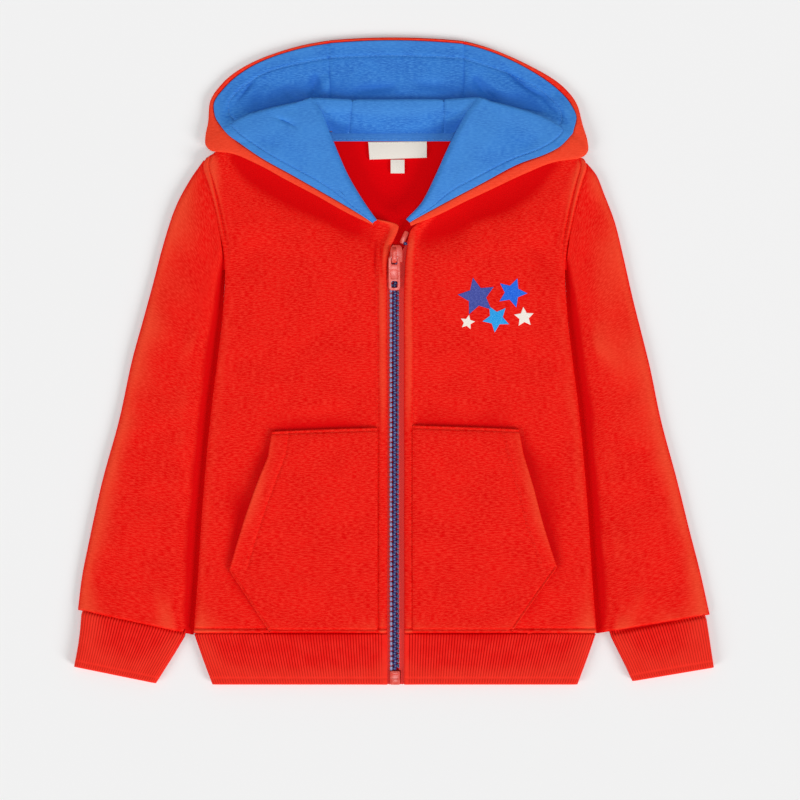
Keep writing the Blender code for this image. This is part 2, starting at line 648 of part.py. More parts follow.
def hood_centre(left, right):
    """Rows across the centre panel, between the seam rows of the two sides."""
    rows, rims = [], []
    for share in (0.0, 0.25, 0.5, 0.75, 1.0):
        bulge = CENTRE_BULGE * 4 * share * (1 - share)
        row = []
        for i, (a, b) in enumerate(zip(left[0], right[0])):
            gap = SKEW_GAP if 2 < i < 6 else GAP
            inset = lerp(gap, -gap, share)
            out = max(0, i - 5) / 4
            row.append((lerp(a[0], b[0], share) + inset, lerp(a[1], b[1], share) + bulge * out,
                        lerp(a[2], b[2], share)))
        rows.append(row)
        rim = [lerp(left[1][k], right[1][k], share) for k in range(3)]
        rims.append((rim[0] + lerp(GAP, -GAP, share), rim[1] + bulge, rim[2]))
    return rows, rims


def surface_normals(rows):
    """Upward unit normals of a grid of points, each the mean of the triangles round it."""
    points = [[Vector(point) for point in row] for row in rows]
    normals = [[Vector() for _ in row] for row in rows]
    for i in range(len(rows) - 1):
        for j in range(len(rows[0]) - 1):
            here, along = (i, j), (i, j + 1)
            across, far = (i + 1, j), (i + 1, j + 1)
            for corners in ((here, along, far), (here, far, across)):
                a, b, c = (points[row][column] for row, column in corners)
                normal = (b - a).cross(c - a)
                for row, column in corners:
                    normals[row][column] += normal
    total = sum(normal.z for line in normals for normal in line)
    sign = math.copysign(1.0, total)
    return [[normal.normalized() * sign for normal in line] for line in normals]


def moved(rows, distance):
    normals = surface_normals(rows)
    return [[tuple(Vector(point) + normal * distance) for point, normal in zip(row, line)]
            for row, line in zip(rows, normals)]


def add_band(rows, rims):
    """The shell's rows carried past the lining's edge, level with it, out to the rim."""
    banded = []
    for row, rim in zip(rows, rims):
        edge = row[-1]
        out = unit(rim[0] - edge[0], rim[1] - edge[1])
        step = (edge[0] + out[0] * BAND_GAP, edge[1] + out[1] * BAND_GAP, edge[2] + BAND_STEP)
        middle = tuple(lerp(step[k], rim[k] + (BAND_STEP if k == 2 else 0.0), 0.5) for k in range(3))
        outer = (rim[0], rim[1], rim[2] + BAND_STEP - 0.6)
        banded.append(row + [step, middle, outer])
    return banded


# ---------------------------------------------------------------- zip

def strip(path, left_x, right_x, z, columns=1, crown=0.0):
    """Rows across a flat strip whose two edges are given at each row of the path."""
    rows = []
    for row, x0, x1 in zip(path, left_x, right_x):
        line = []
        for i in range(columns + 1):
            t = i / columns
            line.append((lerp(x0, x1, t), row.y, z + crown * 4 * t * (1 - t)))
        rows.append(line)
    return rows


def add_zip(materials, collection, parent):
    left_outer = [-row.left_outer for row in ZIP_PATH]
    left_inner = [row.centre - row.left_edge for row in ZIP_PATH]
    right_inner = [row.centre + row.right_edge for row in ZIP_PATH]
    right_outer = [row.right_outer for row in ZIP_PATH]
    rows = strip(ZIP_PATH, left_outer, left_inner, TAPE_TOP_Z)
    add_wall("zip_tape_left", rows, BINDING, materials["zip_tape"], collection, parent)
    rows = strip(ZIP_PATH, right_inner, right_outer, TAPE_TOP_Z)
    add_wall("zip_tape_right", rows, BINDING, materials["zip_tape"], collection, parent)
    chain = ZIP_PATH[CHAIN_ROWS]
    half = CHAIN_WIDTH / 2
    rows = strip(chain, [row.centre - half for row in chain], [row.centre + half for row in chain],
                 CHAIN_TOP_Z - 0.3, columns=2, crown=0.3)
    add_wall("zip_chain", rows, CHAIN_THICKNESS, materials["zip_teeth"], collection, parent)
    add_block("zip_box", (7.4, 10.2, 3.4), (0.0, -234.5, 5.6), 0.5,
              materials["zip_plastic"], collection, parent)
    stop_right = add_block("zip_stop_right", (3.6, 10.0, 2.2), (6.9, 91.4, 5.0), 0.4,
                           materials["zip_plastic"], collection, parent)
    stop_right.rotation_euler = (0.0, 0.0, math.radians(-24.0))
    add_block("zip_stop_left", (3.0, 8.0, 2.2), (-2.8, 91.2, 5.0), 0.4,
              materials["zip_plastic"], collection, parent)


def add_slider(materials, collection, parent, cutters):
    """Two plates joined by a post at the top, and the bridge that the pull tab hangs from."""
    plastic = materials["zip_plastic"]
    slider = add_block("slider", (9.0, 12.6, 1.4), (SLIDER_X, 79.3, 7.55), 0.0,
                       plastic, collection, parent)
    lower = add_block("slider_lower", (8.6, 12.6, 1.2), (SLIDER_X, 79.3, 3.2), 0.0,
                      plastic, cutters, parent)
    post = add_block("slider_post", (3.0, 4.0, 4.6), (SLIDER_X, 83.4, 5.2), 0.0,
                     plastic, cutters, parent)
    arch = add_block("slider_arch", (3.6, 12.4, 3.9), (SLIDER_X - 1.5, 78.1, 9.9), 0.0,
                     plastic, cutters, parent)
    window = add_block("slider_window", (6.0, 9.8, 2.6), (SLIDER_X - 1.5, 78.1, 9.55), 0.0,
                       plastic, cutters, parent)
    add_boolean(arch, window, "DIFFERENCE")
    for tool in (arch, post, lower):
        add_boolean(slider, tool, "UNION")
    rounding = slider.modifiers.new("rounding", "BEVEL")
    rounding.width = 0.35 * MM
    rounding.segments = 1
    rounding.limit_method = "ANGLE"
    return slider


def add_pull_tab(materials, collection, parent, cutters):
    """The tab that hangs from the slider's bridge, with its origin on the hinge axis."""
    plastic = materials["zip_plastic"]
    hinge = bpy.data.objects.new("pull_tab_hinge", None)
    collection.objects.link(hinge)
    hinge.parent = parent
    hinge.location = Vector((TAB_X, HINGE_Y, HINGE_Z)) * MM
    hinge.rotation_euler = (TAB_TILT, 0.0, 0.0)
    tab = add_block("pull_tab", (TAB_WIDTH, 25.4, TAB_THICKNESS), (0.0, -11.7, 0.0), 0.0,
                    plastic, collection, hinge)
    tab.data.transform(Matrix.Translation(tab.location))
    tab.location = (0.0, 0.0, 0.0)
    slot = add_block("tab_slot", (4.8, 6.6, 4.0), (0.0, -4.0, 0.0), 0.0, plastic, cutters, hinge)
    hole = add_block("tab_hole", (4.4, 4.6, 4.0), (0.0, -20.2, 0.0), 0.8, plastic, cutters, hinge)
    for tool in (slot, hole):
        add_boolean(tab, tool, "DIFFERENCE")
    rounding = tab.modifiers.new("rounding", "BEVEL")
    rounding.width = 0.3 * MM
    rounding.segments = 1
    rounding.limit_method = "ANGLE"
    return tab


# ---------------------------------------------------------------- the garment

def add_body(materials, collection, parent):
    fleece = materials["fleece"]
    add_wall("back", back_rows(), FLEECE, fleece, collection, parent, look="down")
    for side, name in ((-1, "left"), (1, "right")):
        add_wall("front_" + name, front_rows(side), FLEECE, fleece, collection, parent)
        add_wall("sleeve_" + name, sleeve_rows(side), FLEECE, fleece, collection, parent,
                 closed=True, look="out")
        add_wall("cuff_" + name, cuff_rows(side), RIBBING, materials["rib"], collection, parent,
                 closed=True, look="out")
        add_wall("pocket_" + name, pocket_rows(side), FLEECE, fleece, collection, parent)
    add_wall("hem_rib", rib_rows(), RIBBING, materials["rib"], collection, parent, look="out")


def add_hood(materials, collection, parent):
    left, left_rims = hood_side(-1)
    right, right_rims = hood_side(1)
    centre, centre_rims = hood_centre((left[-1], left_rims[-1]), (right[-1], right_rims[-1]))
    for name, rows, rims in (("left", left, left_rims), ("right", right, right_rims),
                             ("centre", centre, centre_rims)):
        add_layer("lining_" + name, moved(rows, LAYER_GAP / 2 + JERSEY), moved(rows, LAYER_GAP / 2),
                  materials["jersey"], collection, parent)
        shell = add_band(rows, rims)
        add_layer("hood_" + name, moved(shell, -LAYER_GAP / 2), moved(shell, -LAYER_GAP / 2 - FLEECE),
                  materials["fleece"], collection, parent)


def add_neck_trim(materials, collection, parent):
    """Neck tape over the back neck seam, with the two bare labels sewn under it."""
    inside = FLEECE + GAP + BINDING
    tape = [[(x, y, inside) for x in (-45.4, -15.0, 15.0, 40.6)] for y in (162.9, 166.0, 168.4)]
    add_wall("neck_tape", tape, BINDING, materials["jersey"], collection, parent)
    label = [[(-20.0, 162.2, inside), (23.8, 160.4, inside)],
             [(-19.0, 151.2, inside), (23.4, 149.6, inside)]]
    add_wall("label", label, BINDING, materials["label"], collection, parent)
    tab = [[(-3.2, 149.6, inside), (7.4, 149.2, inside)],
           [(-3.0, 139.4, inside), (7.4, 139.2, inside)]]
    add_wall("size_tab", tab, BINDING, materials["label"], collection, parent)


def main():
    clear_scene()
    collection = bpy.data.collections.new(COLLECTION)
    cutters = bpy.data.collections.new("cutters")
    bpy.context.scene.collection.children.link(collection)
    bpy.context.scene.collection.children.link(cutters)
    materials = {name: make_material(name) for name in COLOURS}
    garment = bpy.data.objects.new("garment", None)
    collection.objects.link(garment)
    add_body(materials, collection, garment)
    add_hood(materials, collection, garment)
    add_neck_trim(materials, collection, garment)
    add_zip(materials, collection, garment)
    add_slider(materials, collection, garment, cutters)
    add_pull_tab(materials, collection, garment, cutters)


main()
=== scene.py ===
import math
from collections import namedtuple

import bpy
import numpy as np
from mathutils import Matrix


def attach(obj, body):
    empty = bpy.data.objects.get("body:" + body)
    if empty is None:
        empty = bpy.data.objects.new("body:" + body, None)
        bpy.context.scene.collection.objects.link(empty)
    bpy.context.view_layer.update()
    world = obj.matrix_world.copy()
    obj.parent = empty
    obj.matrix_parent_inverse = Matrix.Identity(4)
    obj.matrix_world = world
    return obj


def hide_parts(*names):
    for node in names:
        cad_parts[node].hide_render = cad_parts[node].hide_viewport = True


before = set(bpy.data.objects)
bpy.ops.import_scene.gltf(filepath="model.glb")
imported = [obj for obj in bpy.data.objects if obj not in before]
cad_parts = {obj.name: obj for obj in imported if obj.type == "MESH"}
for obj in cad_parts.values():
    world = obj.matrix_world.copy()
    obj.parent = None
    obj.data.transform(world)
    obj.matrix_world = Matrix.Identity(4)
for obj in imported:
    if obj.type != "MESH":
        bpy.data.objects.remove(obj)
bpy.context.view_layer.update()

MM = 0.001
LEFT, RIGHT = -1, 1      # the two sides, as the sign of their x
SIDES = ((LEFT, "left"), (RIGHT, "right"))

# -------------------- sizes shared with the solids

# Thickness of each cloth, and the clearance between pieces
FLEECE, JERSEY, RIBBING, BINDING, GAP = 2.0, 1.2, 2.2, 1.0, 0.3
BODY_HEIGHT = 7.8
SEAM_HEIGHT = 3.9
SIDE_ROLL, UNDER_ROLL = 9.0, 4.0
PLACKET_RISE, PLACKET_WIDTH, PLACKET_RAMP = 0.9, 7.2, 2.4
SLEEVE_HEIGHT, SLEEVE_ROLL = 7.5, 7.0
CUFF_HEIGHT, CUFF_ROLL = 6.8, 4.5
RIB_HEIGHT, RIB_ROLL = 7.2, 6.0
POCKET_SEAM_X = 13.2
NECK_SIDE_X = 53.5
HOOD_REST = 10.35        # height of a flap's edge where it lies on the body
RIDGE_TOP = 12.4         # height of the fold that the flap turns over in
NECK_SEAM_Z = 6.5
SILHOUETTE = 1.35        # how far a rolled edge bulges past its line
LAYER_GAP = 0.5          # air between the hood's shell and its lining
BAND_STEP = 1.3          # how much higher than the lining the hood's rim stands
CENTRE_BULGE = 2.4
ARMHOLE_START_Y = 66.0

# Distance of each row of stitches from the edge or seam that it runs along
ARMHOLE_STITCH, PLACKET_STITCH, HEM_STITCH = 4.5, 7.2, 3.6
POCKET_HEM_STITCH, POCKET_EDGE_STITCH, HOOD_HEM_STITCH = 13.0, 1.6, 10.8


def rows_of(names, *rows):
    """A table whose columns have names."""
    row_kind = namedtuple("Row", names)
    return [row_kind(*row) for row in rows]


# Side and armhole of the body, with the front edges of both fronts
BODY = rows_of(
    "y half_width mid_y scoop roll level left_x left_y right_x right_y rise",
    (-201.5, 149.2, -201.5, 0, 1, 1, 5.6, -201.5, 6.8, -201.5, 1),
    (-165, 146.4, -165, 0, 1, 1, 5.7, -165, 6.8, -165, 1),
    (-120, 143.5, -120, 0, 1, 1, 5.5, -120, 6.7, -120, 1),
    (-80, 140.4, -80, 0, 1, 1, 5.5, -80, 6.8, -80, 1),
    (-35, 136, -35, 0, 1, 1, 5.4, -35, 6.6, -35, 1),
    (5, 131, 5, 0, 1, 1, 5.6, 5, 6.7, 5, 1),
    (35, 127.6, 35, 0, 1, 1, 5.8, 42, 6.5, 40, 1),
    (66, 126, 66, 0, 1, 1, 5.6, 70, 7.4, 70, 1),
    (80, 127.2, 82, 0, 0.5, 1, 2.8, 84, 8.8, 84, 1),
    (97, 130.9, 104, 0, 0, 1, -2.8, 99.4, 11, 95.5, 0.3),
    (116, 134.9, 128, 0, 0, 1, 26.8, 109.4, 26.4, 111, 0),
    (132, 139, 150, 0, 0, 1, 40.2, 134.8, 37.2, 137.5, 0),
    (144.5, 142.2, 163, 0, 0, 0.8, 50.6, 160.6, 47.4, 158, 0),
    (149.5, 140, 170, 3.6, 0, 0.4, 53.5, 168.6, 53.5, 168.6, 0),
    (149.5, 140, 170, 1.6, 0, 0, 53.5, 168.6, 53.5, 168.6, 0))
HEM_Y = BODY[0].y

SLEEVE = "inner_y outer_x outer_y bow"
SLEEVES = {}
SLEEVES[LEFT] = rows_of(
    SLEEVE,
    (66.5, 142.2, 148.6, 2.4),
    (58, 152.3, 134, 1.2),
    (48, 163.1, 113.4, 0.4),
    (36, 172, 86.1, 0),
    (20, 179.5, 57.4, 0),
    (2, 187, 30, 0),
    (-22, 195.2, 0, 0),
    (-60, 204.1, -41.4, 0),
    (-105, 217.6, -91, 0),
    (-147, 226.7, -132.5, 0),
    (-180, 232.5, -162, 0),
    (-203, 235.2, -184.5, 0))
SLEEVES[RIGHT] = rows_of(
    SLEEVE,
    (66.5, 142.4, 146.7, 2.4),
    (63.4, 149.6, 137.6, 1.8),
    (58, 155, 124.3, 1.2),
    (48, 163.2, 102.5, 0.4),
    (36, 169.3, 77.8, 0),
    (20, 176.1, 47.7, 0),
    (2, 182.3, 22.9, 0),
    (-22, 189.1, -4.4, 0),
    (-60, 196.7, -41.2, 0),
    (-105, 209.9, -91, 0),
    (-147, 218.3, -125, 0),
    (-178, 226.5, -157, 0),
    (-202, 233.4, -188, 0))

CUFF = "inner_x inner_y outer_x outer_y"
CUFFS = {}
CUFFS[LEFT] = rows_of(
    CUFF,
    (156, -204.6, 232.6, -188),
    (162.5, -215.5, 233.6, -200),
    (170, -227.5, 235.5, -213.5),
    (177.1, -238.8, 238, -226.4))
CUFFS[RIGHT] = rows_of(
    CUFF,
    (160.4, -205.2, 231.1, -192),
    (165.5, -215.5, 232.8, -203),
    (171, -226.5, 234.6, -215),
    (175.9, -237.2, 236.4, -227))

RIB = rows_of("y half_width", (-202.6, 148.8), (-209, 146.6), (-222, 142), (-239.6, 135.4))

POCKET_EDGE = rows_of(
    "left_x left_y right_x right_y lift",
    (91, -52, 91.5, -50.3, 0),
    (93.8, -70, 94.8, -68, 0.6),
    (102.1, -91, 102.1, -92.5, 1),
    (110.3, -114, 108.8, -118.4, 1),
    (116.6, -134, 114.5, -136.5, 0.6),
    (122.6, -154.7, 119.9, -152.6, 0),
    (108, -177, 104, -175, 0),
    (93.2, -199.6, 87, -199.6, 0))

# The flaps of the hood: neck seam, lining's edge and rim
FLAP = "ridge_x ridge_y edge_x edge_y rim_x rim_y"
FLAPS = {}
FLAPS[LEFT] = rows_of(
    FLAP,
    (14.4, 103.2, 15.8, 102.6, 16.2, 99.8),
    (22.9, 116.2, 33, 112.7, 36.2, 109.4),
    (34.8, 137.6, 54, 124.7, 57.2, 121.2),
    (42.3, 154.4, 76.2, 137.3, 80, 133.2),
    (49.8, 173.2, 98.4, 149.6, 103.4, 145.8))
FLAPS[RIGHT] = rows_of(
    FLAP,
    (9, 103.6, 10.4, 103, 11.8, 99.4),
    (20.1, 116.3, 28.6, 112.4, 32.2, 107.6),
    (30.2, 137.5, 46, 121.6, 50.3, 116.6),
    (37, 152.8, 66, 132, 70.8, 126.2),
    (45.5, 170.5, 91, 145.2, 96, 138))

# The turned part of the hood: neck seam, fold, start of the outer sheet, lining's edge, rim
TUCK = "neck ridge start edge rim bow"
TUCKS = {}
TUCKS[LEFT] = rows_of(
    TUCK,
    ((51.4, 172.6, 5.2), (55.8, 186.5, 11.6), (65, 182, 11.6), (116.2, 161.7, 10), (123.6, 153.6, 9.4), 0),
    ((50, 171.9, 4.8), (58.4, 190, 11.4), (67, 187, 11.3), (121.8, 165.8, 9.2), (135.2, 154.9, 7.6), 1.8),
    ((48.6, 171.2, 4.4), (60.6, 193.6, 11), (68.4, 191.1, 10.9), (126.4, 170.6, 8), (140.5, 160.2, 6), 3.4),
    ((47.6, 170.4, 4), (60.8, 194.2, 10.2), (68.2, 189.4, 7.2), (127.5, 172, 7.4), (140.8, 163.6, 5.4), 3.4),
    ((46.6, 169.9, 3.4), (60.2, 194.4, 9.8), (67.2, 188.8, 3), (129, 174, 6.8), (140.4, 168.6, 4.9), 3.4),
    ((45.6, 169.6, 3), (58.5, 194.4, 9.4), (63.5, 191.8, 2.5), (133.2, 181, 5), (138.6, 177.6, 4), 0),
    ((44.4, 169.4, 2.7), (55, 194.3, 9.2), (61, 192.4, 2.4), (134.4, 189, 3.6), (138, 189.4, 3.2), 0),
    ((42.8, 169.3, 2.5), (50, 194.1, 9), (58, 192.4, 2.4), (125.6, 203.4, 2.4), (128.4, 206, 2.4), 0),
    ((40.6, 169.2, 2.4), (44, 193.9, 8.4), (55, 192.2, 2.4), (102.9, 220.2, 2.4), (104.2, 222.6, 2.4), 0),
    ((37.8, 169.2, 2.4), (37.6, 193.7, 7.6), (51.6, 192, 2.4), (68.8, 231.9, 2.4), (69.4, 234.1, 2.4), 0),
    ((34.4, 169.2, 2.4), (31.6, 193.5, 6.8), (48, 191.8, 2.4), (49.4, 235.6, 2.4), (49.7, 237.7, 2.4), 0))
TUCKS[RIGHT] = rows_of(
    TUCK,
    ((49.8, 170.6, 5.2), (55.5, 187.2, 11.6), (64.5, 182.6, 11.6), (113, 153.4, 10), (119.6, 147, 9.6), 0),
    ((48.6, 170.6, 4.8), (58.8, 190.6, 11.4), (67.4, 187.4, 11.3), (122, 158.4, 9.2), (136.6, 149.7, 7.8), 2),
    ((47.4, 170.6, 4.4), (61.6, 194, 11), (69.6, 192, 10.9), (129.4, 166, 8), (142.5, 154.2, 6.2), 4),
    ((46.2, 170.2, 4), (62.2, 194.6, 10.2), (69.4, 190.4, 7.2), (130.8, 168.2, 7.4), (143.4, 158.2, 5.4), 4),
    ((45.2, 169.9, 3.4), (61.6, 194.8, 9.8), (68.4, 190, 3), (132.2, 171.2, 6.8), (142.6, 164.2, 4.9), 4),
    ((44.2, 169.6, 3), (59.8, 194.8, 9.4), (65.5, 192.4, 2.5), (134.2, 179.6, 5), (139.4, 174.8, 4), 0),
    ((43.2, 169.4, 2.7), (56.6, 194.6, 9.2), (63, 192.6, 2.4), (130.8, 189, 3.6), (135.6, 189.4, 3.2), 0),
    ((42.2, 169.3, 2.5), (52.2, 194.4, 9), (60.4, 192.6, 2.4), (121.8, 200.2, 2.4), (125.5, 203.1, 2.4), 0),
    ((40.8, 169.2, 2.4), (47, 194.1, 8.4), (57.4, 192.4, 2.4), (96.6, 217.6, 2.4), (98.2, 220.2, 2.4), 0),
    ((39, 169.2, 2.4), (41.8, 193.8, 7.6), (54.4, 192.2, 2.4), (67, 230.8, 2.4), (67.7, 233, 2.4), 0),
    ((36.6, 169.2, 2.4), (36.4, 193.6, 6.8), (51.2, 192, 2.4), (51.2, 235.2, 2.4), (51.3, 237.2, 2.4), 0))
TURN_ROWS = 3            # how many of them are still part of the flap

ZIP_PATH = rows_of(
    "y centre left_edge right_edge left_outer right_outer",
    (-239, 0.2, 4.1, 4.1, 12.8, 12.8),
    (-229, 0.2, 4.1, 4.1, 12.8, 12.8),
    (-228.6, 0, 2.9, 2.9, 12.8, 12.8),
    (-160, -0.2, 2.9, 2.9, 12.8, 12.8),
    (-80, -0.3, 2.9, 2.9, 12.8, 12.8),
    (0, -0.3, 2.9, 2.9, 12.8, 12.8),
    (52, -0.2, 2.9, 2.9, 12.8, 12.8),
    (78, 0.6, 3.2, 3.2, 12.8, 13.4),
    (86.5, 1.6, 6, 6.2, 12.6, 14.4),
    (94.5, 2, 7, 10.6, 12, 15.6))


# -------------------- folds

# Soft troughs (negative height) and ridges: both ends, sideways bow, half width and height
FOLD = "x1 y1 x2 y2 bow width height"
FRONT_FOLDS = rows_of(
    FOLD,
    (6, 84, -128, 154, 0, 16, -3.3),
    (-6, 80, 126, 146, 0, 16, -3.1),
    (-8, -48, -98, -53, 0, 4.5, -0.8),
    (8, -46.5, 98, -51.5, 0, 4.5, -0.8),
    (-9.4, 92, -8.6, 54, -1.2, 1.2, -1.7),
    (-4.2, 90, -7, 58, 1.6, 1, -1.7),
    (-14, 93, -13.4, 54, -1, 1.4, -1.2),
    (-19, 96, -18, 30, 1, 2.6, -0.7),
    (13, 92, 60, 124, 3, 4, 0.9),
    (19, 84, 56, 100, -4, 7, -0.5),
    (-19, 94, -46, 118, -2, 4, 0.6),
    (-24, 60, -30, -20, 5, 12, 0.4),
    (36, 48, 30, -36, -4, 13, 0.45),
    (-118, 60, -84, 84, 6, 9, -0.8),
    (118, 58, 88, 86, -6, 9, -0.8),
    (-128, -60, -112, -176, 4, 10, -0.7),
    (130, -40, 116, -170, -5, 11, -0.8),
    (-20, -34, -84, -44, 3, 7, -0.4),
    (22, -30, 90, -42, -3, 8, -0.45),
    (-34, -150, -74, -92, 8, 13, 0.35),
    (40, -182, 84, -120, -9, 14, 0.4))
SLEEVE_FOLDS = rows_of(
    FOLD,
    (-140, 96, -150, 30, 4, 7, -0.6),
    (-136, 30, -160, -10, -4, 6, 0.5),
    (-150, -40, -196, -60, 5, 8, -0.5),
    (-160, -100, -210, -122, -5, 9, -0.45),
    (-166, -196, -180, -150, 3, 6, 0.5),
    (-214, -186, -210, -140, -2, 7, -0.4),
    (138, 92, 152, 26, -4, 7, -0.6),
    (140, 20, 172, -24, 5, 7, 0.5),
    (150, -52, 196, -70, -4, 8, -0.5),
    (158, -120, 206, -104, 5, 9, -0.4),
    (170, -198, 184, -156, -3, 6, 0.5),
    (208, -190, 206, -150, 2, 6, -0.4))
HOOD_FOLDS = rows_of(
    FOLD,
    (-104, 209, -129, 173, -1.2, 1.8, -3.2),
    (-113, 208, -132, 180, -0.5, 3.2, 1.2),
    (-105.5, 199, -99, 178, 0.5, 3, -2.4),
    (-96, 204, -91, 184, -1, 3.4, 1.3),
    (-84, 205, -74, 190, 1, 4.2, -0.9),
    (-59, 214, -61.5, 192, 0.5, 3.2, -2.6),
    (-51, 212, -54, 194, 1, 3.2, 1),
    (-34, 199, 4, 203, 1, 3.6, -1.3),
    (10, 206, 44, 204, -1, 4, -0.8),
    (58, 212, 78, 191, -2, 3.4, -2.2),
    (68, 214, 90, 196, -2, 4, 0.9),
    (78, 220, 118, 192, -2.5, 2.6, -2.6),
    (92, 208, 112, 192, 1, 3.2, 1.1),
    (109, 195, 133, 166, 1.2, 2.1, -3.8),
    (117, 197, 136, 172, 0.5, 3, 1.4),
    (-99, 182.5, -71, 171.5, 1.6, 1.5, -2),
    (-92, 186, -70, 178, 1, 2.4, 0.8),
    (-117, 174, -96, 181, 0.5, 2.2, -0.9),
    (-120, 168, -108, 160, -2, 2.2, -0.9),
    (-112, 168, -84, 160, -3, 6, -0.6),
    (-60, 150, -66, 182, 3, 9, 0.5),
    (76, 184, 66, 150, -3, 9, 0.5),
    (112, 168, 86, 158, 2, 6, -0.5),
    (-57, 190, -37, 173, 2, 2.4, -1.1),
    (-56, 188, -49, 172, 0, 2, -1.5),
    (48, 190, 42, 172, -1, 2.6, -0.9))


# -------------------- curves and grids


def lerp(a, b, t):
    """The value a share `t` of the way from one to another."""
    return a + (b - a) * t


def unit(x, y):
    """A direction with its length made 1."""
    length = math.hypot(x, y)
    return x / length, y / length


def curve_through(values, at, new):
    """Values at the `new` places on smooth curves through the given ones, with no overshoot."""
    values, at = np.asarray(values, float), np.asarray(at, float)
    wide = (-1,) + (1,) * (values.ndim - 1)
    gaps = np.diff(at).reshape(wide)
    rates = np.diff(values, axis=0) / gaps
    slopes = np.zeros_like(values)
    slopes[0], slopes[-1] = rates[0], rates[-1]
    before, after = rates[:-1], rates[1:]
    near, far = 2 * gaps[1:] + gaps[:-1], gaps[1:] + 2 * gaps[:-1]
    turning = before * after <= 0
    safe = np.where(turning, 1.0, before), np.where(turning, 1.0, after)
    slopes[1:-1] = np.where(turning, 0.0, (near + far) / (near / safe[0] + far / safe[1]))
    k = np.clip(np.searchsorted(at, new, side="right") - 1, 0, len(at) - 2)
    span = gaps[k]
    t = (np.asarray(new).reshape(wide) - at[k].reshape(wide)) / span
    start, end = values[k], values[k + 1]
    out, back = slopes[k] * span, slopes[k + 1] * span
    return ((2 * t ** 3 - 3 * t ** 2 + 1) * start + (t ** 3 - 2 * t ** 2 + t) * out
            + (3 * t ** 2 - 2 * t ** 3) * end + (t ** 3 - t ** 2) * back)


def straight_through(values, at, new):
    """The same along straight runs, which keeps corners sharp."""
    values = np.asarray(values, float)
    return np.stack([np.interp(new, at, column) for column in values.T], axis=1)


def spaced(stops, step, close=()):
    """Places through all the stops, at most `step` apart, and closer within (low, high, step)."""
    ends = sorted(set(stops) | {edge for low, high, _ in close for edge in (low, high)})
    found = set()
    for low, high in zip(ends, ends[1:]):
        middle = (low + high) / 2
        wanted = min([step] + [fine for start, end, fine in close if start < middle < end])
        count = max(1, math.ceil((high - low) / wanted - 1e-6))
        found.update(float(place) for place in np.linspace(low, high, count + 1))
    return np.array(sorted(found))


def run_lengths(points):
    """Distance travelled at each point of a line of points."""
    hops = np.linalg.norm(np.diff(np.asarray(points, float), axis=0), axis=1)
    return np.concatenate([[0.0], np.cumsum(hops)])


def finer(table, at, new, through=curve_through):
    """A table's rows at new places along it."""
    rows = through([list(row) for row in table], at, new)
    return [type(table[0])(*row) for row in rows]


def evenly(section, count, closed):
    """The points of a section, spread evenly along it."""
    points = np.asarray(section, float)
    if closed:
        points = np.vstack([points, points[:1]])
    at = run_lengths(points)
    new = np.linspace(0.0, at[-1], count + closed)[:count]
    return np.stack([np.interp(new, at, points[:, k]) for k in range(3)], axis=1)


def grid_normals(face, look="up", closed=False):
    """Unit normals of a grid that face up, down, or out of the tube that it goes round."""
    if closed:
        wide = np.concatenate([face[:, -1:], face, face[:, :1]], axis=1)
        across = wide[:, 2:] - wide[:, :-2]
    else:
        across = np.gradient(face, axis=1)
    normal = np.cross(across, np.gradient(face, axis=0))
    normal /= np.maximum(np.linalg.norm(normal, axis=2, keepdims=True), 1e-9)
    if look == "out":
        agree = ((face - face.mean(axis=1, keepdims=True)) * normal).sum()
    else:
        agree = normal[..., 2].sum() * (1.0 if look == "up" else -1.0)
    return normal * math.copysign(1.0, agree)


def relief(x, y, folds):
    """Height of the folds at each place: each one swells from its ends to its middle."""
    height = np.zeros_like(x)
    for fold in folds:
        length = math.hypot(fold.x2 - fold.x1, fold.y2 - fold.y1)
        along_x, along_y = (fold.x2 - fold.x1) / length, (fold.y2 - fold.y1) / length
        t = ((x - fold.x1) * along_x + (y - fold.y1) * along_y) / length
        aside = (y - fold.y1) * along_x - (x - fold.x1) * along_y - fold.bow * 4 * t * (1 - t)
        swell = np.sin(math.pi * np.clip(t, 0.0, 1.0)) ** 0.8
        height -= swell * groove(aside, fold.height, fold.width)
    return height


def slack(x, y, turn):
    """Faint waves of cloth that lies loose: no two alike, a fifth of a millimetre high."""
    waves = ((0.071, 0.043, 0.0, 1.0), (0.031, -0.089, 1.3, 0.8), (-0.117, 0.052, 2.9, 0.5),
             (0.152, 0.121, 4.4, 0.35), (-0.061, -0.173, 5.1, 0.3))
    return 0.2 * sum(size * np.sin(a * x + b * y + start + turn) for a, b, start, size in waves)


def groove(distance, depth=0.6, width=0.9):
    """Dip that a line of stitches pulls into the cloth, or a ridge where its depth is negative."""
    return -depth * np.exp(-(np.asarray(distance) / width) ** 2)


# -------------------- meshes


def new_mesh(name, points, faces):
    """A mesh of points that are given in millimetres."""
    mesh = bpy.data.meshes.new(name)
    mesh.from_pydata((np.asarray(points) * MM).tolist(), [], faces)
    return mesh


def put_in_scene(name, data):
    """A mesh, light or camera as an object of the scene."""
    thing = bpy.data.objects.new(name, data)
    bpy.context.scene.collection.objects.link(thing)
    return thing


def add_layer(mesh, name, values):
    """Records a number or a vector at each point of a mesh."""
    kind, field = ("FLOAT_VECTOR", "vector") if values.ndim == 2 else ("FLOAT", "value")
    mesh.attributes.new(name, kind, "POINT").data.foreach_set(field, values.ravel())


def add_mesh(name, points, faces, material, slot, body="garment", sharp=50.0, **layers):
    """A smooth piece with edges sharper than `sharp` degrees kept, and its layers of values."""
    mesh = new_mesh(name, points, faces)
    mesh.materials.append(material)
    mesh.shade_smooth()
    mesh.set_sharp_from_angle(angle=math.radians(sharp))
    for layer, values in layers.items():
        add_layer(mesh, layer, values)
    piece = put_in_scene(name, mesh)
    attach(piece, body)
    return piece


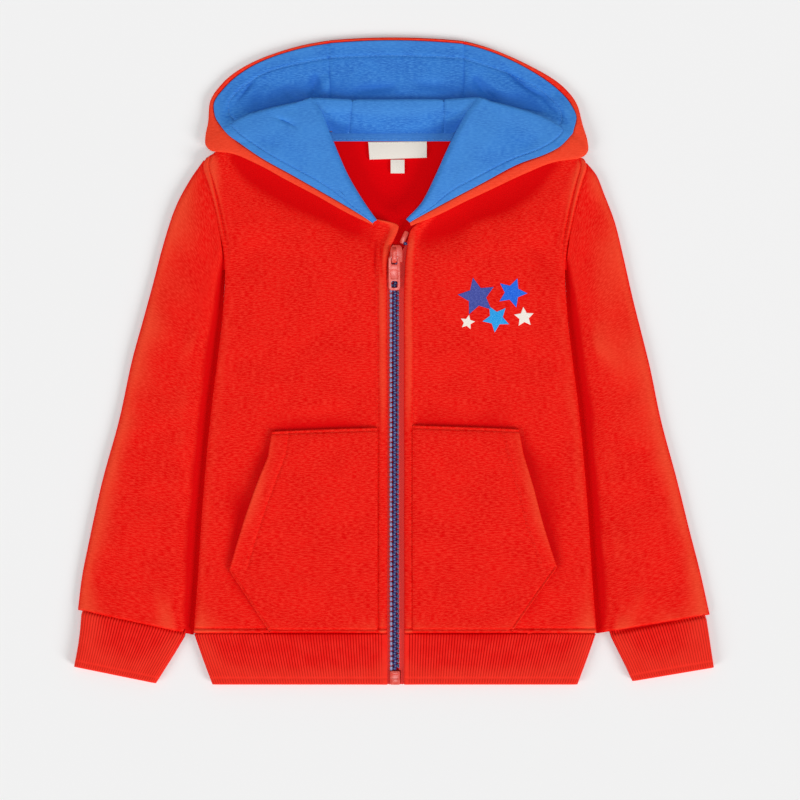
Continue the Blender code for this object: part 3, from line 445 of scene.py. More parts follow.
def shell_faces(rows, columns, closed):
    """Faces of a shell whose two sides are grids: the outer side, the inner side and the rims."""
    index = np.arange(rows * columns).reshape(rows, columns)
    if closed:
        index = np.concatenate([index, index[:, :1]], axis=1)
    a, b, c, d = index[:-1, :-1], index[:-1, 1:], index[1:, 1:], index[1:, :-1]
    outer = np.stack([a, d, c, b], axis=-1).reshape(-1, 4)
    inner = np.stack([a, b, c, d], axis=-1).reshape(-1, 4) + rows * columns
    rims = [index[0], index[-1][::-1]]
    if not closed:
        rims += [index[::-1, 0], index[:, -1]]
    walls = []
    for rim in rims:
        start, end = rim[:-1], rim[1:]
        walls.append(np.stack([start, end, end + rows * columns, start + rows * columns], axis=-1))
    return np.concatenate([outer, inner] + walls)


OTHER_SIDE = 7.0         # how far the pattern on a wall's inner side is shifted


def add_shell(name, face, thickness, material, slot, closed=False, look="up", back=None,
              ribs=None, level=False):
    """A thin closed wall whose visible side is the grid `face`.

    Its grain follows the grid, or runs straight over a `level` piece whose rows fan out.
    """
    normal = grid_normals(face, look, closed)
    if back is None:
        back = face - normal * thickness
    points = np.concatenate([face.reshape(-1, 3), back.reshape(-1, 3)])
    points[:, 2] = np.maximum(points[:, 2], 0.0)
    faces = shell_faces(*face.shape[:2], closed)
    corner = points[faces[0]]
    if np.cross(corner[1] - corner[0], corner[3] - corner[0]) @ normal[0, 0] < 0:
        faces = faces[:, ::-1]
    u, v = np.meshgrid(run_lengths(face.mean(axis=0)), run_lengths(face.mean(axis=1)))
    if level:
        u, v = face[..., 0], face[..., 1]
    flat = np.stack([u, v, np.zeros_like(u)], axis=-1).reshape(-1, 3)
    layers = {"grain": np.concatenate([flat, flat + OTHER_SIDE]) * MM}
    if ribs is not None:
        layers["rib"] = np.concatenate([ribs, ribs]).ravel()
    return add_mesh(name, points, faces.tolist(), material, slot, **layers)


SHADE_CELL = 2.0           # spacing of the feeler that measures heights for the painted shade
SHADE_SPAN = 270.0         # how far out from the middle it feels
SHADE_FROM = 100.0         # height that it comes down from
SHADE_BRUSH = 36           # reach of the averages that it takes, in cells
SHADE_REACHES = ((10.0, 1.0), (26.0, 0.7))    # how wide a crest or hollow the painted shade and highlight answer to
POCKET_HIGHLIGHT_SHARE = 0.6          # share of its painted highlight on crests that a pocket keeps


def felt_heights(places):
    """Height of whatever is on top at each place of a square grid, in mm."""
    depsgraph = bpy.context.evaluated_depsgraph_get()
    heights = np.zeros((len(places), len(places)))
    for row, y in enumerate(places):
        for column, x in enumerate(places):
            hit, place = bpy.context.scene.ray_cast(depsgraph, (x * MM, y * MM, SHADE_FROM * MM),
                                                    (0.0, 0.0, -1.0))[:2]
            heights[row, column] = place[2] / MM if hit else 0.0
    return heights


def paint_relief_shade(pieces):
    """Records how far each bit of cloth stands out of what is round it, for painted shade and highlight.

    The materials paint cloth on a crest paler, as highlight, and cloth in a hollow darker, as shade.
    """
    places = np.arange(-SHADE_SPAN, SHADE_SPAN + 1.0, SHADE_CELL)
    top = felt_heights(places)
    steps = np.arange(-SHADE_BRUSH, SHADE_BRUSH + 1) * SHADE_CELL
    mean = np.zeros_like(top)
    for reach, share in SHADE_REACHES:
        brush = np.exp(-(steps / reach) ** 2 / 2)
        brush /= brush.sum()
        wide = np.apply_along_axis(np.convolve, 0, top, brush, "same")
        mean += share * np.apply_along_axis(np.convolve, 1, wide, brush, "same")
    whole = sum(share for _, share in SHADE_REACHES)
    for piece in pieces:
        points = np.empty(len(piece.data.vertices) * 3)
        piece.data.vertices.foreach_get("co", points)
        x, y, z = points.reshape(-1, 3).T / MM
        column, row = (x - places[0]) / SHADE_CELL, (y - places[0]) / SHADE_CELL
        i, j = column.astype(int), row.astype(int)
        near, far = [lerp(mean[k, i], mean[k, i + 1], column - i) for k in (j, j + 1)]
        above = np.min([top[j, i], top[j, i + 1], top[j + 1, i], top[j + 1, i + 1]], axis=0)
        seen = np.clip(1.0 - (above - z - 2.0) / 3.0, 0.0, 1.0)
        stands = (z * whole - lerp(near, far, row - j)) * seen
        # Pockets keep less of the painted highlight on their crests
        if piece.name.startswith("pocket"):
            stands = np.minimum(stands, stands * POCKET_HIGHLIGHT_SHARE)
        # Painted shade and highlight: how far the cloth stands out, for the materials to colour
        add_layer(piece.data, "painted_relief_shade", stands)


NARROWEST = 12.0         # full width of a zip tape, part of it out of sight in its seam
CUT_FILL = 0.4           # least share of its rectangle of cloth that a curved cut fills


def add_panel(name, face, thickness, material, slot, rests_on=(), with_pieces=(), closed=False,
              **shell):
    """A cut piece of cloth: its shell, with the node that it stands for hidden; the size of its cut is worked
    out but not kept.
    """
    piece = add_shell(name + "_cloth", face, thickness, material, slot, closed, **shell)
    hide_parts(name)
    loop = np.concatenate([face, face[:, :1]], axis=1) if closed else face
    width = max([NARROWEST] + [run_lengths(row)[-1] for row in loop[::4]])
    length = max(run_lengths(column)[-1] for column in face.transpose(1, 0, 2)[::4])
    across, along = np.diff(loop, axis=1)[:-1], np.diff(loop, axis=0)[:, :-1]
    area = np.linalg.norm(np.cross(across, along), axis=2).sum()
    length = min(length, area / (CUT_FILL * width))


# -------------------- stitches


def stitch_parts(path, normals, pitch, length, radius):
    """Points and faces of a row of stitches, each a short thread that dips in at both ends."""
    path, normals = np.asarray(path, float), np.asarray(normals, float)
    at = run_lengths(path)
    points, faces = [], []
    sides = 5
    for start in np.arange(pitch / 2, at[-1] - length, pitch):
        first = len(points)
        for t in (0.0, 0.2, 0.5, 0.8, 1.0):
            place = start + length * t
            centre, up = point_at(path, at, place), point_at(normals, at, place)
            along = point_at(path, at, place + 0.3) - centre
            along /= max(np.linalg.norm(along), 1e-9)
            aside = np.cross(along, up)
            centre = centre + up * radius * (1.5 * math.sin(math.pi * t) - 0.6)
            for k in range(sides):
                angle = 2 * math.pi * k / sides
                points.append(centre + radius * (aside * math.cos(angle) + up * math.sin(angle)))
        for low in range(first, first + 4 * sides, sides):
            high = low + sides
            for k in range(sides):
                follow = (k + 1) % sides
                faces.append((low + k, low + follow, high + follow, high + k))
    return points, faces


def point_at(line, at, place):
    """The point, or the normal, at a distance along a line of them."""
    return np.array([np.interp(place, at, column) for column in line.T])


def add_stitches(name, lines, material, pitch=3.0, length=2.2, radius=0.2):
    """Rows of stitches joined into one piece. Each line is a path and the normals along it."""
    rows = [stitch_parts(path, normals, pitch, length, radius) for path, normals in lines]
    return add_mesh(name, *joined(rows), material, "fleece")


# -------------------- body, sleeves, cuffs and rib

# Places from a panel's outer edge, close together where it turns over and at its stitches
FLAT_EDGE = np.array((0.0, 0.2, 0.45, 0.8, 1.2, 1.8, 2.5, 3.2, 3.8, 4.2, 4.5, 4.8, 5.2, 5.8,
                      6.6, 7.8, 9.0))
# Places from the front edge: ramp of the placket, stitches, fold
PLACKET_STEPS = np.array((18.0, 16.8, 15.6, 14.5, 13.5, 12.4, 11.0, 9.8, 8.9, 8.3, 7.9, 7.55, 7.2,
                          6.85, 6.5, 6.1, 5.4, 4.6, 3.8, 3.0, 2.2, 1.5, 1.0, 0.6, 0.3, 0.1, 0.0))
FOLD_RADIUS = 1.6
BODY_STEP = 2.5          # between two rows of the body's cloth
FRONT_COLUMNS = 42       # across a front, between its two finer edges
SIDE_CRISPNESS = 4.0     # power of the curve that a front turns over in at its side
SHOULDER_RISE = {LEFT: 5.0, RIGHT: 1.6}    # how far a shoulder stands up at the hood's corner
HOOD_CORNER_X = 128.0    # where that corner lies


def rounded(distance, reach):
    """0 at a rounded edge, 1 once `distance` in from it has passed `reach`."""
    inside = np.clip(1.0 - np.asarray(distance, float) / reach, 0.0, 1.0)
    return np.sqrt(1.0 - inside ** 2)


def rolled_edge(reach, height, power=2.8):
    """Distance from a rolled edge and drop below the top, at as many places as FLAT_EDGE."""
    turn = np.linspace(0.0, math.pi / 2, len(FLAT_EDGE))
    inward = reach * (1 - np.clip(np.cos(turn), 0.0, 1.0) ** (2 / power))
    return inward, height * (1 - np.sin(turn) ** (2 / power))


def placket_rise(distance):
    """Extra height of a front near its folded edge."""
    t = np.clip((PLACKET_WIDTH + PLACKET_RAMP - distance) / PLACKET_RAMP, 0.0, 1.0)
    return PLACKET_RISE * t * t * (3 - 2 * t)


def body_rows():
    """The body's rows, close together at its hem."""
    at = [row.y for row in BODY]
    at[-1] += 1.5
    return finer(BODY, at, spaced(at, BODY_STEP, ((HEM_Y, HEM_Y + 7.5, 0.55),)))


def shouldered(face):
    """The body with its shoulders raised to where the hood's corners lie on them."""
    x, y = face[..., 0], face[..., 1]
    rise = np.where(x < 0.0, SHOULDER_RISE[LEFT], SHOULDER_RISE[RIGHT])
    near = -groove(abs(x) - HOOD_CORNER_X, 1.0, 9.0) * np.clip((y - 138.0) / 12.0, 0.0, 1.0)
    face[..., 1] += rise * near
    return face


def front_relief(x, y):
    """Height of the folds and the faint waves on a front."""
    return relief(x, y, FRONT_FOLDS) + slack(x, y, 0.0)


def front_face(side):
    """Face of a front, from its side to its front edge."""
    seam_z = SEAM_HEIGHT + GAP
    rolled_in, rolled_drop = rolled_edge(SIDE_ROLL, BODY_HEIGHT - seam_z, SIDE_CRISPNESS)
    # The cloth dips into the armhole's seam and stitches, with a soft ridge on each side of them
    flat_drop = (2.6 * np.exp(-FLAT_EDGE / 0.9) - groove(FLAT_EDGE - ARMHOLE_STITCH, 0.9)
                 + groove(FLAT_EDGE - 2.4, 0.8, 1.1) + groove(FLAT_EDGE - 6.4, 0.5, 1.1))
    # The placket stands proud, with stitches along it and a soft ridge before its folded edge
    placket = (placket_rise(PLACKET_STEPS) + groove(PLACKET_STEPS - PLACKET_STITCH, 0.7)
               + groove(PLACKET_STEPS - 3.8, -0.5, 2.0)
               - 1.7 * (1.0 - rounded(PLACKET_STEPS, FOLD_RADIUS)))
    rows = []
    for row in body_rows():
        edge_x, edge_y = (row.left_x, row.left_y) if side < 0 else (row.right_x, row.right_y)
        length = math.hypot(row.half_width - edge_x, row.y - edge_y)
        middle = np.linspace(SIDE_ROLL, length - PLACKET_STEPS[0], FRONT_COLUMNS)[1:-1]
        distance = np.concatenate([lerp(FLAT_EDGE, rolled_in, row.roll), middle,
                                   length - PLACKET_STEPS])
        height = np.concatenate([-lerp(flat_drop, rolled_drop, row.roll), np.zeros(len(middle)),
                                 max(row.rise, 0.25) * placket])
        up = row.y - HEM_Y
        hem = groove(up - HEM_STITCH, 0.8) + groove(up - 1.9, -0.5, 1.3) + groove(up, 1.5, 0.8)
        t = distance / length
        x, y = side * lerp(row.half_width, edge_x, t), lerp(row.y, edge_y, t)
        # The folds die down towards the sewn edges
        calm = np.clip(distance / 14.0, 0.0, 1.0) * np.clip((length - distance) / 9.0, 0.35, 1.0)
        height += hem + front_relief(x, y) * calm
        rows.append(np.stack([x, y, lerp(seam_z, BODY_HEIGHT + height, row.level)], axis=1))
    return shouldered(np.array(rows))


def back_face():
    """Underside of the back, flat where it rests and turned up along its sides."""
    seam_z = SEAM_HEIGHT - GAP
    under_in, under_lift = rolled_edge(UNDER_ROLL, seam_z)
    flat_in = FLAT_EDGE * UNDER_ROLL / SIDE_ROLL
    near, far = NECK_SIDE_X - 3.0, NECK_SIDE_X + 1.0
    rows = []
    for row in body_rows():
        edge_x = row.half_width - lerp(flat_in, under_in, row.roll)
        x = np.concatenate([edge_x, np.linspace(edge_x[-1], far, 18)[1:],
                            np.linspace(far, near, 6)[1:], np.linspace(near, 0.0, 14)[1:]])
        z = np.append(under_lift * row.roll, np.zeros(len(x) - len(edge_x)))
        x, z = np.append(x, -x[-2::-1]), np.append(z, z[-2::-1])
        slope = np.clip((row.half_width - abs(x)) / (row.half_width - NECK_SIDE_X), 0.0, 1.0)
        near_neck = np.clip(1.0 - (x / NECK_SIDE_X) ** 2, 0.0, 1.0)
        y = lerp(row.y, row.mid_y, slope) - row.scoop * near_neck
        shoulder = np.clip((abs(x) - near) / 4.0, 0.0, 1.0)
        z = np.maximum(z, seam_z * (1.0 - row.level) * shoulder)
        rows.append(np.stack([x, y, z], axis=1))
    return shouldered(np.array(rows))


def tube_section(inner, outer, height, roll, bow=0.0, slope=0.0, low=0.0, crown=0.0):
    """Points round a flattened tube between its inner and its outer edge.

    With a `slope`, the top sinks over that width to `low` at the inner edge instead of rolling.
    From there it curves down by its `crown` to the outer edge.
    """
    width = math.hypot(outer[0] - inner[0], outer[1] - inner[1])
    along = unit(outer[0] - inner[0], outer[1] - inner[1])
    side = math.copysign(1.0, outer[0])
    quarter = np.linspace(0.0, math.pi / 2, 13)[:-1]
    level = np.linspace(0.0, 1.0, 30)[:-1]
    half = (height - crown) / 2
    middle = low if slope else half
    climb, rise = roll * (1 - np.cos(quarter)), middle + half * np.sin(quarter)
    if slope:
        share = np.linspace(0.0, 1.0, 25)[:-1]
        climb, rise = slope * share, lerp(low, height, share ** 1.15 * (2 - share ** 1.15))
    # Up the inner edge, over the top, round the outer edge, and back under
    distance = np.concatenate([climb, lerp(slope or roll, width - roll, level),
                               width - roll * (1 - np.sin(quarter)),
                               width - roll * (1 - np.cos(quarter)),
                               lerp(width - roll, roll, level), roll * (1 - np.sin(quarter))])
    z = np.concatenate([rise, height - crown * level ** 2, half * (1 + np.cos(quarter)),
                        half * (1 - np.sin(quarter)), np.zeros(len(level)),
                        middle * (1 - np.cos(quarter))])
    shift = -bow * np.sin(math.pi * distance / width) * side
    x = inner[0] + along[0] * distance + along[1] * shift
    y = inner[1] + along[1] * distance - along[0] * shift
    return np.stack([x, y, z], axis=1)


def side_at(y):
    """Half width of the body at a height, from the hem up to the underarm."""
    rows = [row for row in BODY if row.roll == 1.0]
    return float(np.interp(y, [row.y for row in rows], [row.half_width for row in rows]))


def upper_half(face, height):
    """1 on top of a tube, fading to 0 half way down its sides."""
    return np.clip((face[..., 2] - height / 2) / (height / 2), 0.0, 1.0) ** 2


def end_rounding(at, reach, depth):
    """Drop of the cloth where its two cut or folded ends turn over."""
    return depth * (2.0 - rounded(at - at[0], reach) - rounded(at[-1] - at, reach))


SLEEVE_COLUMNS = 104     # round a sleeve
SLEEVE_STEP = 2.4        # between two rows of its cloth
SLEEVE_SLOPE = 22.0      # width over which a sleeve sinks down to the body's side
SLEEVE_LOW = 2.2         # height of its top there, well below the body's
SLEEVE_CROWN = 1.9       # how much lower its top is near the outer edge
# Rows in the seam at its top: distance back, and what is left of its height
SLEEVE_SEAM = ((3.2, 0.02), (1.8, 0.05), (0.8, 0.12), (0.35, 0.4))
CLOSE_GAP = 0.12         # cloth that touches


def sleeve_face(side):
    """Face of a sleeve, from its top at the shoulder down to the cuff."""
    table = SLEEVES[side]
    at = run_lengths([(row.outer_x, row.outer_y) for row in table])
    new = spaced(at, SLEEVE_STEP, ((0.0, 3.0, 0.7), (at[-1] - 4.0, at[-1], 0.5)))
    face = []
    for row in finer(table, at, new):
        inner = (side * (side_at(row.inner_y) + CLOSE_GAP), row.inner_y)
        section = tube_section(inner, (side * row.outer_x, row.outer_y), SLEEVE_HEIGHT,
                               SLEEVE_ROLL, row.bow, SLEEVE_SLOPE, SLEEVE_LOW, SLEEVE_CROWN)
        face.append(evenly(section, SLEEVE_COLUMNS, True))
    face = np.array(face)
    x, y = face[..., 0], face[..., 1]
    lift = relief(x, y, SLEEVE_FOLDS) + slack(x, y, 2.0) - end_rounding(new, 2.4, 2.5)[:, None]
    face[..., 2] += upper_half(face, SLEEVE_HEIGHT - SLEEVE_CROWN) * lift
    return seamed_in(face, (-side, 0.0), SLEEVE_SEAM, SLEEVE_HEIGHT / 2)


RIB_PITCH = 2.1
RIB_DEPTH = 0.42
SAMPLES_PER_RIB = 4
RIB_ROW_STEP = 2.8
CUFF_END_STITCH, HEM_END_STITCH = 4.8, 5.0    # from the fold that ends the rib
SEWN_BAND = 8.5          # half width of what is sewn flat beside the zip


def rib_rows(at):
    """Places of a rib's rows, close together in its seam and at its folded end."""
    return spaced(at, RIB_ROW_STEP, ((at[0], at[0] + 3.0, 0.8), (at[-1] - 7.0, at[-1], 0.6)))


def ribbed(face, closed, fade):
    """A face with knit ribs pressed into it, gone where `fade` is 0, and their wave: 1 on a crest."""
    columns = np.arange(face.shape[1])
    wave = np.abs(np.cos(math.pi * columns / SAMPLES_PER_RIB)) ** 0.7
    wave = 1.0 - (1.0 - wave[None, :]) * fade
    normal = grid_normals(face, "out", closed)
    return face + normal * (RIB_DEPTH * (wave - 1.0))[..., None], wave


def pressed_end(face, fold, stitch, flat, height):
    """Turns a rib's end over at its fold, and returns how its ribs fade there and at its stitches."""
    fall = 0.9 * (1.0 - rounded(fold, 1.4)) - groove(fold - stitch, 0.3, 0.8)
    face[..., 2] -= upper_half(face, height) * fall[:, None]
    return 1.0 + groove(fold - stitch, flat, 0.7) + groove(fold, 0.8, 0.9)


def seamed_in(face, ahead, offsets, mid, shrink=0.0):
    """A rib's face with its first rows carried back into the seam, where they are pressed thin.

    `offsets` pairs each new row's distance back from the first with what is left of its height.
    """
    rows = []
    for offset, left in offsets:
        row = face[0] + np.append(np.array(ahead) * offset, 0.0)
        row[:, 2] = mid + (row[:, 2] - mid) * left
        row[:, 0] -= shrink * (1.0 - left) * np.sign(row[:, 0]) * (abs(row[:, 0]) > 100.0)
        rows.append(row)
    return np.concatenate([rows, face])


CUFF_SEAM = ((5.4, 0.36), (4.2, 0.38), (3.4, 0.46), (2.9, 0.62), (2.5, 0.78), (2.1, 0.88),
             (1.6, 0.95), (0.9, 0.99))
HEM_SEAM = ((4.0, 0.36), (2.6, 0.38), (1.7, 0.46), (1.1, 0.64), (0.8, 0.8), (0.45, 0.92),
            (0.2, 0.97))


def rib_count(section):
    """How many points go round a section, so that its ribs are whole."""
    return SAMPLES_PER_RIB * round(run_lengths(section)[-1] / RIB_PITCH)


def cuff_face(side):
    """Face of a cuff and the wave of its ribs."""
    at = run_lengths([(row.inner_x, row.inner_y) for row in CUFFS[side]])
    new = rib_rows(at)
    sections = [tube_section((side * row.inner_x, row.inner_y), (side * row.outer_x, row.outer_y),
                             CUFF_HEIGHT, CUFF_ROLL) for row in finer(CUFFS[side], at, new)]
    count = rib_count(sections[0])
    face = np.array([evenly(section, count, True) for section in sections])
    fade = pressed_end(face, at[-1] - new, CUFF_END_STITCH, 0.7, CUFF_HEIGHT)
    ahead = face[0].mean(axis=0) - face[3].mean(axis=0)
    face = seamed_in(face, unit(ahead[0], ahead[1]), CUFF_SEAM, CUFF_HEIGHT / 2)
    fade = np.append(np.ones(len(CUFF_SEAM)), fade)
    return ribbed(face, True, fade[:, None])


def rib_section(row):
    """Section of the hem rib, from the left front end under the back to the right front end."""
    reach = np.array((0.0, 0.15, 0.5, 1.0, 2.8, 8.0, 14.0, 60.0))
    top = RIB_HEIGHT - groove(reach, 0.5, 9.0) - 1.2 * (1.0 - rounded(reach, 1.0))
    turn = np.radians(np.linspace(90.0, -90.0, 19))
    under = np.linspace(-120.0, 120.0, 9)
    x = np.concatenate([-BODY[0].left_x - reach, -row.half_width + RIB_ROLL * (1 - np.cos(turn)),
                        under, row.half_width - RIB_ROLL * (1 - np.cos(turn[::-1])),
                        (BODY[0].right_x + reach)[::-1]])
    side_z = RIB_HEIGHT / 2 * (1 + np.sin(turn))
    z = np.concatenate([top, side_z, np.zeros(len(under)), side_z[::-1], top[::-1]])
    return np.stack([x, np.full(len(x), row.y), z], axis=1)


def hem_rib_face():
    """Face of the rib round the hem, open at the zip, and the wave of its ribs."""
    at = -np.array([row.y for row in RIB])
    new = rib_rows(at)
    sections = [rib_section(row) for row in finer(RIB, at, new)]
    count = rib_count(sections[0])
    face = np.array([evenly(section, count, False) for section in sections])
    fade = pressed_end(face, at[-1] - new, HEM_END_STITCH, 0.75, RIB_HEIGHT)
    face = seamed_in(face, (0.0, 1.0), HEM_SEAM, RIB_HEIGHT / 2, 4.0)
    fade = np.append(np.ones(len(HEM_SEAM)), fade)
    # No ribs on the band that is sewn flat beside the zip
    ends = np.clip((np.abs(face[..., 0]) - SEWN_BAND) / 2.0, 0.0, 1.0)
    ends = np.maximum(ends, face[..., 2] < RIB_HEIGHT / 2)
    return ribbed(face, False, fade[:, None] * ends)


POCKET_EDGE_STEPS = np.array((0.0, 0.15, 0.4, 0.75, 1.15, 1.6, 2.05, 2.6, 3.6, 5.0, 7.0, 9.0, 10.8,
                              11.8, 12.5, 13.0, 13.5, 14.2, 15.2))
OPENING_LIFT = 1.45
POCKET_SLANT = 3.0       # how much higher a pocket's top edge is at the placket
POCKET_WIDEST_ROW = 5    # last row of the hand opening, first of the slanted lower seam


def pocket_places():
    """Distance down a pocket's edge to each corner of it, and to each row of the cloth."""
    at = run_lengths([(row.right_x, row.right_y) for row in POCKET_EDGE])
    return at, spaced(at, 2.0, ((0.0, 4.0, 0.35), (at[-1] - 6.0, at[-1], 0.5)))


def pocket_face(side):
    """Face of a pocket on its front, which it follows."""
    at, new = pocket_places()
    front_edge = BODY[0].left_x
    placket_x = front_edge + PLACKET_WIDTH + PLACKET_RAMP
    steps = POCKET_EDGE_STEPS
    rows = []
    for place, row in zip(new, finer(POCKET_EDGE, at, new, straight_through)):
        outer_x, y = (row.left_x, row.left_y) if side < 0 else (row.right_x, row.right_y)
        x = np.concatenate([outer_x - steps, np.linspace(outer_x - steps[-1], placket_x, 30)[1:],
                            np.linspace(placket_x, POCKET_SEAM_X, 16)[1:]])
        inward = outer_x - x
        opened = OPENING_LIFT * row.lift * np.clip(1.0 - inward / 40.0, 0.0, 1.0) ** 3
        opening = np.clip((at[POCKET_WIDEST_ROW] - place) / 4.0, 0.0, 1.0)
        band = np.clip(1.0 - inward / POCKET_HEM_STITCH, 0.0, 1.0)
        z = BODY_HEIGHT + placket_rise(x - front_edge) + GAP + FLEECE + opened
        z += opening * (groove(inward - POCKET_HEM_STITCH, 0.7) + 0.5 * band ** 0.5)
        z += (1.0 - opening) * (groove(inward - POCKET_EDGE_STITCH - 0.5)
                                + groove(inward - 0.8, -0.4, 0.7))
        z += groove(place - POCKET_EDGE_STITCH - 0.4) + groove(at[-1] - place - HEM_STITCH + 2.0)
        z += groove(x - POCKET_SEAM_X, 1.3, 1.1)
        z -= 1.5 * (2.0 - rounded(inward, 1.3) - rounded(place, 1.3))
        slant = POCKET_SLANT * (inward / inward[-1]) ** 0.8 * np.clip(1.0 - place / 50.0, 0.0, 1.0)
        z += front_relief(side * x, y + slant) * 0.9
        rows.append(np.stack([side * x, y + slant, z], axis=1))
    return np.array(rows)


# -------------------- hood

# Places from the lining's edge inwards, close together at its line of stitches
HEM_STEPS = np.array((16.0, 14.4, 13.0, 12.1, 11.5, 11.1, 10.8, 10.5, 10.1, 9.5, 8.6, 7.4, 6.0, 4.6,
                      3.2, 2.0, 1.1, 0.5, 0.15, 0.0))
INNER_COLUMNS = 30       # from the neck seam to the start of the outer sheet
SHEET_COLUMNS = 50       # over the sheet
CENTRE_ROWS = 52         # across the centre panel
FLAP_HEM = 0.62          # the flap's stitches run closer to its edge, by this share
FULL_FLAP = 22.0         # a flap narrower than this is drawn in tight
FULL_NECK = 12.0         # and one narrower than this hides less of the neck seam's depth
FULL_HEM = 24.0          # a sheet narrower than this has a narrower hem
HOOD_STEP = 1.6          # between two rows of a side
# How the shell's rim curls over: share of the way past the lining's edge, and rise
BAND = np.array(((0.0, 0.35), (0.08, 0.8), (0.2, 1.0), (0.35, 1.08), (0.5, 1.1), (0.65, 1.08),
                 (0.8, 1.0), (0.9, 0.85), (0.96, 0.62), (1.0, 0.3)))
BAND_GAP = 0.1           # between the lining's edge and the rim
SEAM_GAP = 0.03          # between panels that are sewn edge to edge
SHARP = 0.06             # bend from one row to the next that leaves no room inside


def neighbours(grid):
    """The values of a grid moved one place each way."""
    wide = np.pad(grid, 1, mode="edge")
    return wide[:-2, 1:-1], wide[2:, 1:-1], wide[1:-1, :-2], wide[1:-1, 2:]


def flap_profile(row):
    """A flap's seam surface, from the neck seam over its rolled inner edge; its edge and rim."""
    reach = math.hypot(row.edge_x - row.ridge_x, row.edge_y - row.ridge_y)
    out = unit(row.edge_x - row.ridge_x, row.edge_y - row.ridge_y)
    tight = min(1.0, reach / FULL_FLAP)
    neck_z = lerp(HOOD_REST, NECK_SEAM_Z, min(1.0, reach / FULL_NECK))
    top_z = lerp(HOOD_REST + 0.8, RIDGE_TOP, tight)
    points = []
    for distance, z in ((1.5, neck_z), (0.0, lerp(neck_z, top_z, 0.38)),
                        (0.4, lerp(neck_z, top_z, 0.76)), (2.9, top_z), (8.0, top_z - 0.4 * tight)):
        step = (SILHOUETTE + distance) * tight
        points.append((row.ridge_x + out[0] * step, row.ridge_y + out[1] * step, z))
    edge = (row.edge_x, row.edge_y, HOOD_REST)
    return points, edge, (row.rim_x, row.rim_y, HOOD_REST - 0.5 * tight), 0.0


def turn_profile(row):
    """The same where the flap ends: up a slope from the neck seam and out along the crease."""
    neck, ridge, top_z = row.neck, row.ridge, row.ridge[2]
    out = unit(row.edge[0] - ridge[0], row.edge[1] - ridge[1])
    points = [neck, (lerp(neck[0], ridge[0], 0.5), lerp(neck[1], ridge[1], 0.5),
                     lerp(neck[2], top_z, 0.7))]
    for distance, z in ((0.4, lerp(neck[2], top_z, 0.9)), (2.9, top_z), (8.0, row.start[2])):
        step = SILHOUETTE + distance
        points.append((ridge[0] + out[0] * step, ridge[1] + out[1] * step, z))
    return points, row.edge, row.rim, row.bow


def tuck_profile(row):
    """The same past the crease: up to the fold, down it, and out over the surface below."""
    neck, ridge, start = row.neck, row.ridge, row.start
    points = [neck]
    for t, rise in ((0.45, 0.62), (0.84, 0.98)):
        points.append((lerp(neck[0], ridge[0], t), lerp(neck[1], ridge[1], t) - SILHOUETTE * t,
                       lerp(neck[2], ridge[2], rise)))
    points.append((ridge[0], ridge[1] - SILHOUETTE, ridge[2] - 0.3))
    points.append((lerp(ridge[0], start[0], 0.5), lerp(ridge[1], start[1], 0.45) - SILHOUETTE,
                   lerp(ridge[2], start[2], 0.55)))
    return points + [start], row.edge, row.rim, row.bow


def hood_line(points, edge, bow, hem, begin):
    """One fine row of the seam surface, and how far each of its places is along the sheet.

    `begin` is where the fine sheet starts, as a share of the way from the last point to the edge.
    """
    start, edge = np.array(points[-1]), np.array(edge)
    length = math.hypot(*(edge - start)[:2])
    along = (edge - start)[:2] / length
    steps = HEM_STEPS * min(hem, length / FULL_HEM)
    flat = np.linspace(begin, 1.0 - steps[0] / length, SHEET_COLUMNS)
    share = np.concatenate([flat[:-1], 1.0 - steps / length])
    shift = bow * np.sin(math.pi * share ** 1.3)
    sheet = start + (edge - start) * share[:, None]
    sheet[:, 0] -= along[1] * shift
    sheet[:, 1] += along[0] * shift
    # The rolled part is a smooth curve that runs on into the sheet
    knots = np.vstack([points[:5], sheet[:21:10]])
    at = run_lengths(knots)
    inner = curve_through(knots, at, np.interp(np.linspace(0.0, 5.0, INNER_COLUMNS + 1)[:-1],
                                               np.arange(6), at[:6]))
    return np.vstack([inner, sheet]), np.concatenate([np.zeros(INNER_COLUMNS), share])


def hood_side(side):
    """Fine grid of the seam surface for one side of the hood, its rim, and the last row's shares."""
    made = [flap_profile(row) + (FLAP_HEM, 0.2) for row in FLAPS[side]]
    made += [turn_profile(row) + (FLAP_HEM, 0.2) for row in TUCKS[side][:TURN_ROWS]]
    made += [tuck_profile(row) + (1.0, 0.0) for row in TUCKS[side][TURN_ROWS:]]
    lines = [hood_line(points, edge, *rest) for points, edge, _, *rest in made]
    grid = np.array([line for line, _ in lines])
    rims = np.array([row[2] for row in made], float)
    hops = np.linalg.norm(np.diff(grid, axis=0), axis=2).mean(axis=1)
    at = np.append(0.0, np.cumsum(np.maximum(hops, 2.0)))
    new = spaced(at, HOOD_STEP)
    grid, rims = curve_through(grid, at, new), curve_through(rims, at, new)
    grid[..., 0] *= side
    rims[:, 0] *= side
    return grid, rims, lines[-1][1]


def hood_centre(left, right):
    """Fine grid of the centre panel between the last rows of the two sides."""
    (left_grid, left_rims, shares), (right_grid, right_rims, _) = left, right
    rows, rims = [], []
    for share in np.linspace(0.0, 1.0, CENTRE_ROWS):
        bulge, shift = CENTRE_BULGE * 4 * share * (1 - share), lerp(SEAM_GAP, -SEAM_GAP, share)
        row = lerp(left_grid[-1], right_grid[-1], share)
        row[:, 0] += shift
        row[:, 1] += bulge * shares
        rows.append(row)
        rims.append(lerp(left_rims[-1], right_rims[-1], share) + np.array((shift, bulge, 0.0)))
    return np.array(rows), np.array(rims), shares


